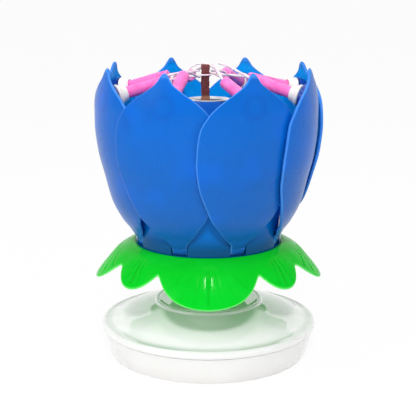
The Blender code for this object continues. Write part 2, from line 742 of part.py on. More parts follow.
def make_contacts():
    """A flat plus plate and a bent minus spring, at the ends of the bay."""
    x, y = bay_centre()
    end = cell_bay_length() / 2
    low = FLOOR_TOP + CELL_RADIUS / 2 + FIT
    high = FLOOR_TOP + FIT + CELL_RADIUS + CELL_RADIUS / 2
    width = CELL_RADIUS
    plate_x = x - end + FIT + CONTACT_SHEET / 2
    prism("plus_contact", box_outline((plate_x, y), CONTACT_SHEET, width), low, high, spring_steel())
    outer = x + end - FIT
    inner = outer - CONTACT_SPRING_DEPTH
    middle = (low + high) / 2
    bm = bmesh.new()
    section = [(outer, low), (outer, high), (outer - CONTACT_SHEET, high), (outer - CONTACT_SHEET, middle + width / 4),
               (inner + CONTACT_SHEET, middle + CONTACT_SHEET), (inner, middle), (inner + CONTACT_SHEET, middle - CONTACT_SHEET),
               (outer - CONTACT_SHEET, low + CONTACT_SHEET), (outer - CONTACT_SHEET, low)]
    near = [bm.verts.new((px, y - width / 2, pz)) for px, pz in section]
    far = [bm.verts.new((px, y + width / 2, pz)) for px, pz in section]
    bm.faces.new(near)
    bm.faces.new(far)
    skin(bm, near, far)
    bmesh.ops.triangulate(bm, faces=[face for face in bm.faces if len(face.verts) > 4])
    mesh_object("minus_contact", bm, spring_steel())


def gear_outline(teeth, phase):
    """Straight-flanked teeth with backlash, four points to a tooth."""
    pitch = GEAR_MODULE * teeth / 2
    tip = pitch + GEAR_MODULE * GEAR_ADDENDUM_SHARE
    root = pitch - GEAR_MODULE * GEAR_DEDENDUM_SHARE
    step = 2 * math.pi / teeth
    thick = step / 2 * (1 - GEAR_BACKLASH_SHARE)
    outline = []
    for i in range(teeth):
        for share, radius in [(-0.72, root), (-0.28, tip), (0.28, tip), (0.72, root)]:
            outline.append(around(radius, phase + step * i + share * thick))
    return outline


def make_gear(name, teeth, centre, phase, bore, hub_wall, mat):
    """A spur gear with a round bore and a hub on its upper side."""
    step = 2 * math.pi / teeth
    bore_ring = [around(bore, phase + step * i) for i in range(teeth)]
    hub_ring = [around(bore + hub_wall, phase + step * i) for i in range(teeth)]
    top = GEAR_LEVEL + GEAR_HEIGHT
    hub_top = top + GEAR_HUB_HEIGHT
    bm = bmesh.new()
    rings = []
    for points, z in [(gear_outline(teeth, phase), GEAR_LEVEL), (gear_outline(teeth, phase), top), (hub_ring, top),
                      (hub_ring, hub_top), (bore_ring, hub_top), (bore_ring, GEAR_LEVEL)]:
        rings.append([bm.verts.new((centre[0] + x, centre[1] + y, z)) for x, y in points])
    for ring, following in zip(rings, rings[1:] + rings[:1]):
        if len(ring) == len(following):
            skin(bm, ring, following)
        elif len(ring) > len(following):
            tooth_web(bm, ring, following)
        else:
            tooth_web(bm, following, ring)
    return mesh_object(name, bm, mat)


def tooth_web(bm, outline, ring):
    """Flat faces from the teeth, four points each, in to a ring of one point a tooth."""
    for i, inner in enumerate(ring):
        a, b, c, d = outline[4 * i:4 * i + 4]
        after = outline[(4 * i + 4) % len(outline)]
        bm.faces.new([a, b, inner])
        bm.faces.new([b, c, inner])
        bm.faces.new([c, d, inner])
        bm.faces.new([d, after, ring[(i + 1) % len(ring)], inner])


def make_gears():
    """The pinion on the motor's shaft and the gear on the spindle, in mesh."""
    make_gear("drive_gear", GEAR_TEETH, (0, 0), MOTOR_AZIMUTH + math.pi / GEAR_TEETH, SHAFT_RADIUS + FIT,
              GEAR_HUB_WALL, gear_white())
    make_gear("motor_pinion", PINION_TEETH, motor_centre(), MOTOR_AZIMUTH + math.pi, PINION_SHAFT_RADIUS + FIT,
              PINION_HUB_WALL, brass())


def make_motor():
    """Small can motor with two flats and its end boss."""
    x, y = motor_centre()
    low = FLOOR_TOP + FIT
    outline = []
    for px, py in circle_outline((0, 0), MOTOR_RADIUS, TUBE_SEGMENTS):
        outline.append((x + px, y + min(max(py, -MOTOR_FLAT), MOTOR_FLAT)))
    can = prism("motor", outline, low, low + MOTOR_HEIGHT, spring_steel())
    boss_top = GEAR_LEVEL - FIT
    boss = disc("boss", (x, y), MOTOR_RADIUS / 3, low + MOTOR_HEIGHT / 2, boss_top, spring_steel())
    shaft = disc("shaft", (x, y), PINION_SHAFT_RADIUS, low + MOTOR_HEIGHT / 2, GEAR_LEVEL + GEAR_HEIGHT + FIT,
                 spring_steel(), SMALL_SEGMENTS // 2)
    return fuse(can, [boss, shaft])


def make_board():
    """Melody board on its posts, with the chip under a black blob."""
    x, y = board_centre()
    prism("melody_board", box_outline((x, y), BOARD_LENGTH, BOARD_WIDTH), BOARD_FOOT,
          BOARD_FOOT + BOARD_THICKNESS, board_green())
    low = BOARD_FOOT + BOARD_THICKNESS + FIT
    profile = [(0, low), (CHIP_RADIUS, low), (CHIP_RADIUS * 0.9, low + CHIP_HEIGHT * 0.5),
               (CHIP_RADIUS * 0.55, low + CHIP_HEIGHT * 0.9), (0, low + CHIP_HEIGHT)]
    bm = bmesh.new()
    turned_piece(bm, profile, Matrix.Translation((x, y, 0)), SMALL_SEGMENTS)
    mesh_object("melody_chip", bm, chip_black())


def make_speaker():
    """Piezo disc of brass with its raised ceramic middle."""
    low = FLOOR_TOP + SPEAKER_SEAT_HEIGHT + FIT
    bm = bmesh.new()
    inner = SPEAKER_RADIUS * SPEAKER_CERAMIC_SHARE
    profile = [(0, low), (SPEAKER_RADIUS, low), (SPEAKER_RADIUS, low + SPEAKER_THICKNESS / 2),
               (inner, low + SPEAKER_THICKNESS / 2), (inner, low + SPEAKER_THICKNESS), (0, low + SPEAKER_THICKNESS)]
    turned_piece(bm, profile, Matrix.Translation((*speaker_centre(), 0)), TUBE_SEGMENTS)
    return mesh_object("piezo_speaker", bm, brass())


def make_switch():
    """Slider block on the floor with its knob in the slot."""
    low = FLOOR_TOP + FIT
    block = prism("switch_slider", box_outline(switch_centre(), SWITCH_BLOCK_LENGTH, SWITCH_BLOCK_WIDTH),
                  low, low + SWITCH_BLOCK_HEIGHT, chip_black())
    knob = prism("knob", box_outline(switch_centre(), SWITCH_KNOB_LENGTH, SWITCH_KNOB_WIDTH),
                 SWITCH_RECESS, low + SWITCH_BLOCK_HEIGHT / 2, chip_black())
    fuse(block, [knob])
    cover_low = low + SWITCH_BLOCK_HEIGHT + FIT
    prism("switch_cover", box_outline(board_centre(), SWITCH_BLOCK_LENGTH + SWITCH_TRAVEL, SWITCH_BLOCK_WIDTH),
          cover_low, BOARD_FOOT - FIT, spring_steel())


def make_spindle():
    """Shaft, turntable disc, neck and top flange in one moulding."""
    bore = PIVOT_RADIUS + FIT
    bore_top = SHAFT_FOOT_HEIGHT + PIVOT_ENGAGEMENT + FIT
    disc_radius = COLLAR_RADIUS - COLLAR_WIDTH - FIT
    edge = TURNTABLE_HEIGHT / 4
    screw_hole = HUB_SCREW_RADIUS + FIT
    profile = [(bore, SHAFT_FOOT_HEIGHT), (SHAFT_RADIUS, SHAFT_FOOT_HEIGHT), (SHAFT_RADIUS, TURNTABLE_FOOT),
               (disc_radius, TURNTABLE_FOOT), (disc_radius, TURNTABLE_TOP - edge), (disc_radius - edge, TURNTABLE_TOP),
               (NECK_RADIUS, TURNTABLE_TOP), (NECK_RADIUS, NECK_TOP - NECK_FLANGE_HEIGHT),
               (NECK_FLANGE_RADIUS, NECK_TOP - NECK_FLANGE_HEIGHT), (NECK_FLANGE_RADIUS, NECK_TOP),
               (screw_hole, NECK_TOP), (screw_hole, NECK_TOP - HUB_SCREW_DEPTH - FIT),
               (0, NECK_TOP - HUB_SCREW_DEPTH - FIT), (0, bore_top), (bore, bore_top)]
    return revolve("spindle", profile, TUBE_SEGMENTS, shell_white())


def make_bush():
    """Flanged bush between the lid and the shaft."""
    inner = SHAFT_RADIUS + FIT
    outer = inner + BUSH_WALL
    low = COLLAR_FLOOR - LID_WALL
    flange = outer + BUSH_FLANGE
    profile = [(inner, low), (outer, low), (outer, COLLAR_FLOOR + FIT), (flange, COLLAR_FLOOR + FIT),
               (flange, BUSH_TOP), (inner, BUSH_TOP)]
    return revolve("spindle_bush", profile, TUBE_SEGMENTS, gear_white())


def skirt_point(reach):
    """Outer (radius, height) of the calyx skirt at a share of its full reach."""
    k = reach * (len(SKIRT_RADIUS_SHARES) - 1)
    places = list(range(len(SKIRT_RADIUS_SHARES)))
    radius_share = interpolate(list(zip(places, SKIRT_RADIUS_SHARES)), k)
    drop_share = interpolate(list(zip(places, SKIRT_DROP_SHARES)), k)
    radius = CALYX_LIP_RADIUS + radius_share * CALYX_LOBE_REACH
    return radius, CALYX_LIP_TOP - drop_share * CALYX_SKIRT_DROP


def lobe_reach(azimuth):
    """How far the skirt reaches at an azimuth: four large lobes and four small ones."""
    quarter = 2 * math.pi / LARGE_LOBES
    offset = (azimuth + math.pi / 2 + quarter / 2) % quarter - quarter / 2
    small_half = quarter / 2 - LARGE_LOBE_HALF_ANGLE
    if abs(offset) <= LARGE_LOBE_HALF_ANGLE:
        top, place = 1.0, abs(offset) / LARGE_LOBE_HALF_ANGLE
    else:
        top, place = SMALL_LOBE_REACH_SHARE, (quarter / 2 - abs(offset)) / small_half
    swell = (1 - place ** 2) ** LOBE_ROUNDNESS_SHARE
    return NOTCH_REACH_SHARE + (top - NOTCH_REACH_SHARE) * swell


def make_calyx():
    """Lobed skirt that flares from the lip of a cup."""
    bm = bmesh.new()
    columns = [2 * math.pi * i / CALYX_COLUMNS - math.pi / 2 for i in range(CALYX_COLUMNS)]
    outer_rows = [0.0, 0.25, 0.5, 0.77, 1.0]
    inner_rows = [0.0, 0.4, 0.77, 1.0]
    lip_inner = BOWL_RADIUS + FIT
    cup_outer = lip_inner + CALYX_WALL / 2
    hole = HUB_SCREW_HEAD_RADIUS
    rings = [ring_at(bm, columns, lambda a: (hole, CALYX_FLOOR_FOOT)),
             ring_at(bm, columns, lambda a: (cup_outer, CALYX_FLOOR_FOOT)),
             ring_at(bm, columns, lambda a: (cup_outer, CALYX_LIP_TOP - 2 * CALYX_WALL))]
    for row in inner_rows:
        rings.append(ring_at(bm, columns, lambda a, row=row: skirt_inside(row * lobe_reach(a))))
    for row in reversed(outer_rows):
        rings.append(ring_at(bm, columns, lambda a, row=row: skirt_point(row * lobe_reach(a))))
    rings.append(ring_at(bm, columns, lambda a: (lip_inner, CALYX_LIP_TOP - CALYX_WALL / 4)))
    rings.append(ring_at(bm, columns, lambda a: (lip_inner, CALYX_FLOOR_TOP)))
    rings.append(ring_at(bm, columns, lambda a: (hole, CALYX_FLOOR_TOP)))
    for ring, following in zip(rings, rings[1:] + rings[:1]):
        skin(bm, ring, following)
    calyx = mesh_object("calyx", bm, leaf_green())
    return calyx


def ring_at(bm, columns, place):
    """A ring of points whose radius and height follow a rule over the azimuth."""
    ring = []
    for azimuth in columns:
        radius, height = place(azimuth)
        ring.append(bm.verts.new((radius * math.cos(azimuth), radius * math.sin(azimuth), height)))
    return ring


def skirt_inside(reach):
    """The skirt's inner face, one wall thickness in from the outer one."""
    r0, z0 = skirt_point(max(reach - SLOPE_STEP_SHARE, 0))
    r1, z1 = skirt_point(min(reach + SLOPE_STEP_SHARE, 1))
    length = math.hypot(r1 - r0, z1 - z0)
    radius, height = skirt_point(reach)
    return radius + (z1 - z0) / length * CALYX_WALL, height - (r1 - r0) / length * CALYX_WALL


def spring_crest():
    """Height of the fingers' middle where they pass over the barrels."""
    return HINGE_HEIGHT + BARREL_RADIUS + 2 * FIT + SPRING_SHEET / 2


def slot_width():
    return STEM_WIDTH + 2 * SLOT_SIDE_GAP


def make_receptacle():
    """Bowl with a hinge band, eight slots, the pin bores and the tube's socket."""
    band_foot = HINGE_HEIGHT - BOWL_BAND_HEIGHT / 2
    band_top = HINGE_HEIGHT + BOWL_BAND_HEIGHT / 2
    inner = BOWL_RADIUS - BOWL_WALL
    band_inner = BOWL_RADIUS - BOWL_BAND_WALL
    socket_inner = TUBE_RADIUS + FIT
    socket_outer = socket_inner + TUBE_SOCKET_WALL
    socket_top = BOWL_FLOOR_TOP + TUBE_SOCKET_HEIGHT
    slope = BOWL_WALL
    screw_hole = HUB_SCREW_RADIUS + FIT
    profile = [(screw_hole, BOWL_FOOT), (BOWL_RADIUS - slope, BOWL_FOOT), (BOWL_RADIUS, BOWL_FOOT + slope),
               (BOWL_RADIUS, band_top - BOWL_WAIST_INSET), (BOWL_RADIUS - BOWL_WAIST_INSET, band_top),
               (BOWL_RIM_RADIUS, BOWL_RIM - BOWL_RIM_CHAMFER),
               (BOWL_RIM_RADIUS - BOWL_RIM_CHAMFER, BOWL_RIM), (BOWL_RIM_RADIUS - BOWL_WALL, BOWL_RIM),
               (inner - BOWL_WAIST_INSET, band_top), (band_inner, band_top), (band_inner, band_foot),
               (inner, band_foot - (inner - band_inner)),
               (inner, BOWL_FLOOR_TOP), (socket_outer, BOWL_FLOOR_TOP), (socket_outer, socket_top),
               (socket_inner, socket_top), (socket_inner, BOWL_FLOOR_TOP), (screw_hole, BOWL_FLOOR_TOP)]
    bowl = revolve("receptacle", profile, BOWL_SEGMENTS, bowl_blue())
    return cut(bowl, receptacle_cutters())


def receptacle_cutters():
    """A window and a cross bore for every petal."""
    cutters = []
    slot_foot = HINGE_HEIGHT - BARREL_RADIUS - SLOT_FOOT_GAP
    bore_reach = slot_width() / 2 + PIN_REACH + FIT
    depth = BOWL_BAND_WALL + CUT_OVERRUN
    for index in range(PETALS):
        turn = Matrix.Rotation(petal_azimuth(index), 4, "Z")
        slot = prism("slot", box_outline((BOWL_RADIUS, 0), 2 * depth, slot_width()), slot_foot,
                     spring_crest() + SPRING_SHEET + FIT, bowl_blue())
        slot.data.transform(turn)
        bm = bmesh.new()
        lay = Matrix.Translation((HINGE_RADIUS, 0, HINGE_HEIGHT)) @ Matrix.Rotation(math.pi / 2, 4, "X")
        turned_piece(bm, [(0, -bore_reach), (PIN_RADIUS + FIT, -bore_reach), (PIN_RADIUS + FIT, bore_reach),
                          (0, bore_reach)], turn @ lay, SMALL_SEGMENTS // 2)
        bore = mesh_object("bore", bm, bowl_blue())
        cutters += [slot, bore]
    return cutters


def make_hub_screw():
    """The screw under the sparkler tube that clamps bowl and calyx to the neck."""
    seat = BOWL_FLOOR_TOP + FIT
    low = NECK_TOP - HUB_SCREW_DEPTH
    bm = bmesh.new()
    profile = [(0, low), (HUB_SCREW_RADIUS, low), (HUB_SCREW_RADIUS, seat), (HUB_SCREW_HEAD_RADIUS, seat),
               (HUB_SCREW_HEAD_RADIUS, seat + HUB_SCREW_HEAD_HEIGHT), (0, seat + HUB_SCREW_HEAD_HEIGHT)]
    turned_piece(bm, profile, Matrix.Identity(4), SMALL_SEGMENTS)
    return mesh_object("hub_screw", bm, spring_steel())


def petal_radius(share):
    return BOWL_RADIUS + PETAL_BULGE * interpolate(PETAL_BULGE_SHARES, share)


def petal_half_width(share):
    return PETAL_WIDTH / 2 * interpolate(PETAL_WIDTH_SHARES, share)


def petal_point(across, share, depth):
    """A point of the petal in its hinge's frame.

    across runs from -1 to 1 over the width, share from 0 to 1 up the length,
    and depth is the distance out from the middle surface.  The radius falls
    steadily across the width, so that one edge laps over the next petal.
    """
    angle = across * petal_half_width(share) / petal_radius(share)
    pitch = 2 * math.pi / PETALS
    radius = petal_radius(share) - PETAL_LAP_STEP * angle / pitch
    low, high = max(share - SLOPE_STEP_SHARE, 0), min(share + SLOPE_STEP_SHARE, 1)
    slope = (petal_radius(high) - petal_radius(low)) / ((high - low) * PETAL_LENGTH)
    normal = math.hypot(1, slope)
    radius += depth / normal
    height = share * PETAL_LENGTH - depth * slope / normal
    return Vector((radius * math.cos(angle) - HINGE_RADIUS, radius * math.sin(angle), height))


def petal_sheet():
    """The curved blade of the petal as a closed sheet of even thickness."""
    bm = bmesh.new()
    faces = []
    for depth in (PETAL_WALL / 2, -PETAL_WALL / 2):
        rows = []
        for share in PETAL_ROW_SHARES:
            rows.append([bm.verts.new(petal_point(2 * i / PETAL_COLUMNS - 1, share, depth))
                         for i in range(PETAL_COLUMNS + 1)])
        faces.append(rows)
        for row, above in zip(rows, rows[1:]):
            for i in range(PETAL_COLUMNS):
                bm.faces.new([row[i], row[i + 1], above[i + 1], above[i]])
    outer, inner = (grid_border(rows) for rows in faces)
    skin(bm, outer, inner)
    return mesh_object("petal_1", bm, petal_blue())


def grid_border(rows):
    """The points round the edge of a grid, in order."""
    right = [row[-1] for row in rows[1:-1]]
    left = [row[0] for row in reversed(rows[1:-1])]
    return rows[0] + right + list(reversed(rows[-1])) + left


def candle_frame():
    """The candle's axis in the hinge's frame: +Z runs from the boss to the wick."""
    share = 1 - BOSS_BELOW_TIP / PETAL_LENGTH
    root = Vector((petal_radius(share) - HINGE_RADIUS, 0, share * PETAL_LENGTH))
    tilt = Matrix.Rotation(CANDLE_TILT - math.pi / 2, 4, "Y")
    return Matrix.Translation(root) @ tilt


def hinge_barrel():
    """Round foot of the petal with a pin at either side."""
    bm = bmesh.new()
    half = STEM_WIDTH / 2
    reach = slot_width() / 2 + PIN_REACH
    profile = [(0, -reach), (PIN_RADIUS, -reach), (PIN_RADIUS, -half), (BARREL_RADIUS, -half),
               (BARREL_RADIUS, half), (PIN_RADIUS, half), (PIN_RADIUS, reach), (0, reach)]
    turned_piece(bm, profile, Matrix.Rotation(math.pi / 2, 4, "X"), CANDLE_SEGMENTS)
    return mesh_object("barrel", bm, petal_blue())


def petal_boss():
    """Round boss whose root follows the blade and whose end faces along the candle."""
    bm = bmesh.new()
    frame = candle_frame()
    middle = 1 - BOSS_BELOW_TIP / PETAL_LENGTH
    root, end = [], []
    for i in range(SMALL_SEGMENTS):
        turn = 2 * math.pi * i / SMALL_SEGMENTS
        side, up = BOSS_RADIUS * math.cos(turn), BOSS_RADIUS * math.sin(turn)
        share = middle + up / PETAL_LENGTH
        root.append(bm.verts.new(petal_point(side / petal_half_width(share), share, 0)))
        end.append(bm.verts.new(frame @ Vector((up, side, boss_end()))))
    skin(bm, root, end)
    bm.faces.new(root)
    bm.faces.new(end)
    bmesh.ops.triangulate(bm, faces=[face for face in bm.faces if len(face.verts) > 4])
    return mesh_object("boss", bm, petal_blue())


def boss_end():
    """Distance along the candle's axis to the end of the boss."""
    return PETAL_WALL / 2 + BOSS_HEIGHT


def make_petal_mesh():
    """Blade, barrel, pins and boss fused into one moulding."""
    petal = petal_sheet()
    fuse(petal, [hinge_barrel(), petal_boss()])
    mesh = petal.data
    bpy.data.objects.remove(petal, do_unlink=True)
    return mesh


def make_holder_mesh():
    """Bell-shaped candle holder with its socket."""
    seat = boss_end() + FIT
    spread = HOLDER_FLARE_RADIUS - HOLDER_NOSE_RADIUS
    outer = [(HOLDER_NOSE_RADIUS + spread * share, seat + HOLDER_LENGTH * place)
             for place, share in HOLDER_FLARE_SHARES]
    top = seat + HOLDER_LENGTH
    socket = CANDLE_RADIUS + FIT
    profile = [(0, seat)] + outer + [(socket, top), (socket, top - HOLDER_SOCKET_DEPTH), (0, top - HOLDER_SOCKET_DEPTH)]
    bm = bmesh.new()
    turned_piece(bm, profile, candle_frame(), CANDLE_SEGMENTS)
    return bm


def candle_start():
    return boss_end() + FIT + HOLDER_LENGTH - HOLDER_SOCKET_DEPTH + FIT


def make_candle_mesh():
    """Slim candle with a softened end."""
    low, high = candle_start(), candle_start() + CANDLE_LENGTH
    bm = bmesh.new()
    profile = [(0, low), (CANDLE_RADIUS, low), (CANDLE_RADIUS, high - CANDLE_END_CHAMFER),
               (CANDLE_RADIUS - CANDLE_END_CHAMFER, high), (0, high)]
    turned_piece(bm, profile, candle_frame(), CANDLE_SEGMENTS)
    return bm


def wick_path():
    """Centre line of the wick: out of the candle, then in to the fuse."""
    start = candle_frame() @ Vector((0, 0, candle_start() + CANDLE_LENGTH + FIT))
    end = Vector((WICK_END_RADIUS - HINGE_RADIUS, 0, start.z + WICK_RISE))
    leave = (candle_frame().to_3x3() @ Vector((0, 0, 1))) * (start - end).length / 3
    arrive = Vector(((start - end).length / 3, 0, 0))
    points = []
    for i in range(WICK_POINTS):
        t = i / (WICK_POINTS - 1)
        controls = [start, start + leave, end + arrive, end]
        weights = [(1 - t) ** 3, 3 * t * (1 - t) ** 2, 3 * t * t * (1 - t), t ** 3]
        points.append(sum((w * c for w, c in zip(weights, controls)), Vector()))
    return points


def tube_mesh(path, radius, sides, closed=False):
    """A round tube along points; an open one gets flat ends."""
    bm = bmesh.new()
    rings = []
    count = len(path)
    for i, point in enumerate(path):
        before = path[i - 1] if closed or i > 0 else point
        after = path[(i + 1) % count] if closed or i < count - 1 else point
        along = (after - before).normalized()
        side = along.cross(Vector((0, 0, 1))) if abs(along.z) < 0.9 else along.cross(Vector((0, 1, 0)))
        side.normalize()
        up = side.cross(along)
        turn = [2 * math.pi * k / sides for k in range(sides)]
        rings.append([bm.verts.new(point + radius * (math.cos(a) * side + math.sin(a) * up)) for a in turn])
    pairs = zip(rings, rings[1:] + rings[:1]) if closed else zip(rings, rings[1:])
    for ring, following in pairs:
        skin(bm, ring, following)
    if not closed:
        bm.faces.new(rings[0])
        bm.faces.new(rings[-1])
    return bm


def make_petals():
    """Every petal with its holder, candle and wick, hung on an empty at its hinge."""
    pieces = {"petal": make_petal_mesh(),
              "candle_holder": shared_mesh(make_holder_mesh(), holder_cream()),
              "candle": shared_mesh(make_candle_mesh(), wax_pink()),
              "wick": shared_mesh(tube_mesh(wick_path(), WICK_RADIUS, WICK_SIDES), wick_white())}
    for index in range(PETALS):
        azimuth = petal_azimuth(index)
        hinge = bpy.data.objects.new("hinge_%d" % (index + 1), None)
        hinge.location = (*around(HINGE_RADIUS, azimuth), HINGE_HEIGHT)
        hinge.rotation_euler = (0, 0, azimuth)
        bpy.context.collection.objects.link(hinge)
        for name, mesh in pieces.items():
            obj = bpy.data.objects.new("%s_%d" % (name, index + 1), mesh)
            obj.parent = hinge
            bpy.context.collection.objects.link(obj)


def shared_mesh(bm, mat):
    """A finished mesh that several objects may share."""
    obj = mesh_object("shared", bm, mat)
    mesh = obj.data
    bpy.data.objects.remove(obj, do_unlink=True)
    return mesh


def make_sparkler():
    """Central tube with its cartridge."""
    inner = TUBE_RADIUS - TUBE_WALL
    floor = TUBE_FOOT + HUB_SCREW_HEAD_HEIGHT + FIT
    revolve("sparkler_tube", [(TUBE_RADIUS, TUBE_FOOT), (TUBE_RADIUS, TUBE_TOP), (inner, TUBE_TOP),
                              (inner, floor + TUBE_FLOOR), (0, floor + TUBE_FLOOR), (0, floor), (inner, floor),
                              (inner, TUBE_FOOT)],
            TUBE_SEGMENTS, bowl_blue())
    low = floor + TUBE_FLOOR + FIT
    radius = inner - FIT
    rim = CHARGE_CROWN_DROP
    bm = bmesh.new()
    turned_piece(bm, [(0, low), (radius, low), (radius, CHARGE_TOP + rim), (radius - rim, CHARGE_TOP + rim),
                      (radius - rim, CHARGE_TOP), (0, CHARGE_TOP)], Matrix.Identity(4), TUBE_SEGMENTS)
    mesh_object("sparkler_cartridge", bm, paper_white())


def make_fuse():
    """Flat strip that stands in the cartridge, tied with thread."""
    outline = rounded_outline((FUSE_OFFSET, 0), FUSE_WIDTH, FUSE_THICKNESS, FUSE_THICKNESS / 3, 2)
    prism("fuse", outline, FUSE_FOOT, FUSE_TOP, fuse_brown())
    reach = FIT + THREAD_RADIUS
    loop = rounded_outline((FUSE_OFFSET, 0), FUSE_WIDTH + 2 * reach, FUSE_THICKNESS + 2 * reach,
                           FUSE_THICKNESS / 2, 3)
    height = FUSE_TOP - THREAD_BELOW_FUSE_TOP
    path = [Vector((x, y, height)) for x, y in loop]
    thread = mesh_object("tie_thread", tube_mesh(path, THREAD_RADIUS, WICK_SIDES, closed=True), wick_white())
    bm = bmesh.new()
    bmesh.ops.create_icosphere(bm, subdivisions=2, radius=KNOT_RADIUS)
    knot_place = Vector((FUSE_OFFSET, FUSE_THICKNESS / 2 + FIT + KNOT_RADIUS, height))
    bmesh.ops.translate(bm, verts=bm.verts, vec=knot_place)
    return fuse(thread, [mesh_object("knot", bm, wick_white())])


def spring_finger_path():
    """Side view of one finger: out along the floor, up, and over the barrel."""
    floor = BOWL_FLOOR_TOP + FIT + SPRING_SHEET / 2
    ring_inner = TUBE_RADIUS + TUBE_SOCKET_WALL + 3 * FIT
    rise_radius = HINGE_RADIUS - BARREL_RADIUS - 2 * FIT - SPRING_SHEET / 2
    crest = spring_crest()
    share = (crest - HINGE_HEIGHT) / PETAL_LENGTH
    touch = petal_radius(share) - PETAL_WALL / 2 - 2 * FIT
    bend = rise_radius - ring_inner
    return [(ring_inner + SPRING_RING_WIDTH / 2, floor), (rise_radius - bend / 4, floor),
            (rise_radius - bend / 16, floor + bend / 16), (rise_radius, floor + bend / 4),
            (rise_radius, crest - BARREL_RADIUS / 2), (HINGE_RADIUS - BARREL_RADIUS / 2, crest), (touch, crest)]


def make_spring():
    """Star-shaped leaf spring: a ring on the bowl's floor with a finger per petal."""
    floor = BOWL_FLOOR_TOP + FIT
    ring_inner = TUBE_RADIUS + TUBE_SOCKET_WALL + 3 * FIT
    ring_outer = ring_inner + SPRING_RING_WIDTH
    profile = [(ring_inner, floor), (ring_outer, floor), (ring_outer, floor + SPRING_SHEET),
               (ring_inner, floor + SPRING_SHEET)]
    spring = revolve("petal_spring", profile, BOWL_SEGMENTS, spring_steel())
    fingers = []
    for index in range(PETALS):
        finger = spring_finger()
        finger.data.transform(Matrix.Rotation(petal_azimuth(index), 4, "Z"))
        fingers.append(finger)
    return fuse(spring, fingers)


def spring_finger():
    """One finger of the spring, as a bent strip."""
    path = spring_finger_path()
    bm = bmesh.new()
    rings = []
    for i, (radius, height) in enumerate(path):
        before, after = path[max(i - 1, 0)], path[min(i + 1, len(path) - 1)]
        along = Vector((after[0] - before[0], 0, after[1] - before[1])).normalized()
        across = Vector((-along.z, 0, along.x)) * SPRING_SHEET / 2
        centre = Vector((radius, 0, height))
        side = Vector((0, SPRING_FINGER_WIDTH / 2, 0))
        rings.append([bm.verts.new(centre + a * across + b * side) for a, b in [(1, 1), (1, -1), (-1, -1), (-1, 1)]])
    for ring, following in zip(rings, rings[1:]):
        skin(bm, ring, following)
    bm.faces.new(rings[0])
    bm.faces.new(rings[-1])
    return mesh_object("finger", bm, spring_steel())


def main():
    clear_scene()
    make_base_body()
    make_base_lid()
    make_lid_screws()
    make_battery_door()
    make_door_screw()
    make_cells()
    make_contacts()
    make_motor()
    make_gears()
    make_board()
    make_speaker()
    make_switch()
    make_bush()
    make_spindle()
    make_calyx()
    make_receptacle()
    make_hub_screw()
    make_spring()
    make_sparkler()
    make_fuse()
    make_petals()


main()
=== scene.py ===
"""Looks of the musical birthday candle: a closed lotus flower on a round base.

Every surface is worked out as arrays over a grid and put into a mesh at its
real place, in metres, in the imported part's own frame.  The front faces -Y.
"""
import json
import math

import bmesh
import bpy
import numpy as np
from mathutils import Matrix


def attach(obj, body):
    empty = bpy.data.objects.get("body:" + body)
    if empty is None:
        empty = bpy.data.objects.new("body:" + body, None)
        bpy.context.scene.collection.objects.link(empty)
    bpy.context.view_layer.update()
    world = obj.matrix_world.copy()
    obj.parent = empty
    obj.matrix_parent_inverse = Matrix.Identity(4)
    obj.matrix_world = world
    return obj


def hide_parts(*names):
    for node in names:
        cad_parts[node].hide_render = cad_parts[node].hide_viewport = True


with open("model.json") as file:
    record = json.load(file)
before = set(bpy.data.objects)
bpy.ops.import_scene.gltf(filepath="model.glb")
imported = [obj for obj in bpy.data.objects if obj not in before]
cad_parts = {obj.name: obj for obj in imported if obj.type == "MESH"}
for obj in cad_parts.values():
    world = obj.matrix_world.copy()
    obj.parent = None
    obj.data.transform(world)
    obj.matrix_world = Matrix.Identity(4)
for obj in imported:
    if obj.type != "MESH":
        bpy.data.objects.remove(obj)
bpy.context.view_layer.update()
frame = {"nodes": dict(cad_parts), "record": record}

# Measures that many pieces share
FULL_TURN = 2 * math.pi
QUARTER_TURN = math.pi / 2
GAP = 0.0003
MERGE_DISTANCE = 1e-7
SLOPE_STEP = 0.01
CREASE = math.radians(40)

# How far the corners of turned outlines are rounded
CRISP = 0.0001
EASED = 0.0002
ROUNDED = 0.0003
SOFTEST_SHARE = 0.48

# Sizes of the petals and their hinges
PETALS = 8
PETAL_TURN = math.radians(0.2)
HINGE_RADIUS = 0.0239
HINGE_HEIGHT = 0.0432
BOWL_RADIUS = 0.0258
PETAL_LENGTH = 0.0593
PETAL_WIDTH = 0.0374
PETAL_BULGE = 0.0122
PETAL_WALL = 0.0011
PETAL_LAP_STEP = 0.0019
PETAL_RIM = 0.0011
TIP_ROUNDING_SHARE = 0.30
BLADE_ROWS = 92
BLADE_ROW_POINTS = 33
ROW_CROWDING = 1.15
STEM_WIDTH = 0.0054
STEM_DROP = 0.0023
BARREL_RADIUS = 0.0016
PIN_RADIUS = 0.0007
PIN_END = 0.0037
# Each share of the petal's length with its share of the bulge
BULGE_SHARES = [(-0.039, -0.110), (-0.012, -0.072), (0.0, -0.066), (0.03, 0.033), (0.061, 0.115),
                (0.105, 0.279), (0.2125, 0.549), (0.364, 0.746), (0.514, 0.925), (0.669, 1.0),
                (0.764, 1.0), (0.877, 0.942), (1.0, 0.838)]
# Each share of the petal's length with its share of the width
WIDTH_SHARES = [(-0.05, 0.140), (0.0, 0.144), (0.015, 0.147), (0.030, 0.163), (0.050, 0.225),
                (0.068, 0.280), (0.13, 0.455), (0.20, 0.640), (0.245, 0.715), (0.36, 0.878),
                (0.44, 0.952), (0.53, 0.995), (0.62, 0.99), (0.70, 0.95), (0.78, 0.808), (0.84, 0.61),
                (0.90, 0.332), (0.942, 0.155), (0.975, 0.085), (0.993, 0.045), (1.0, 0.0)]

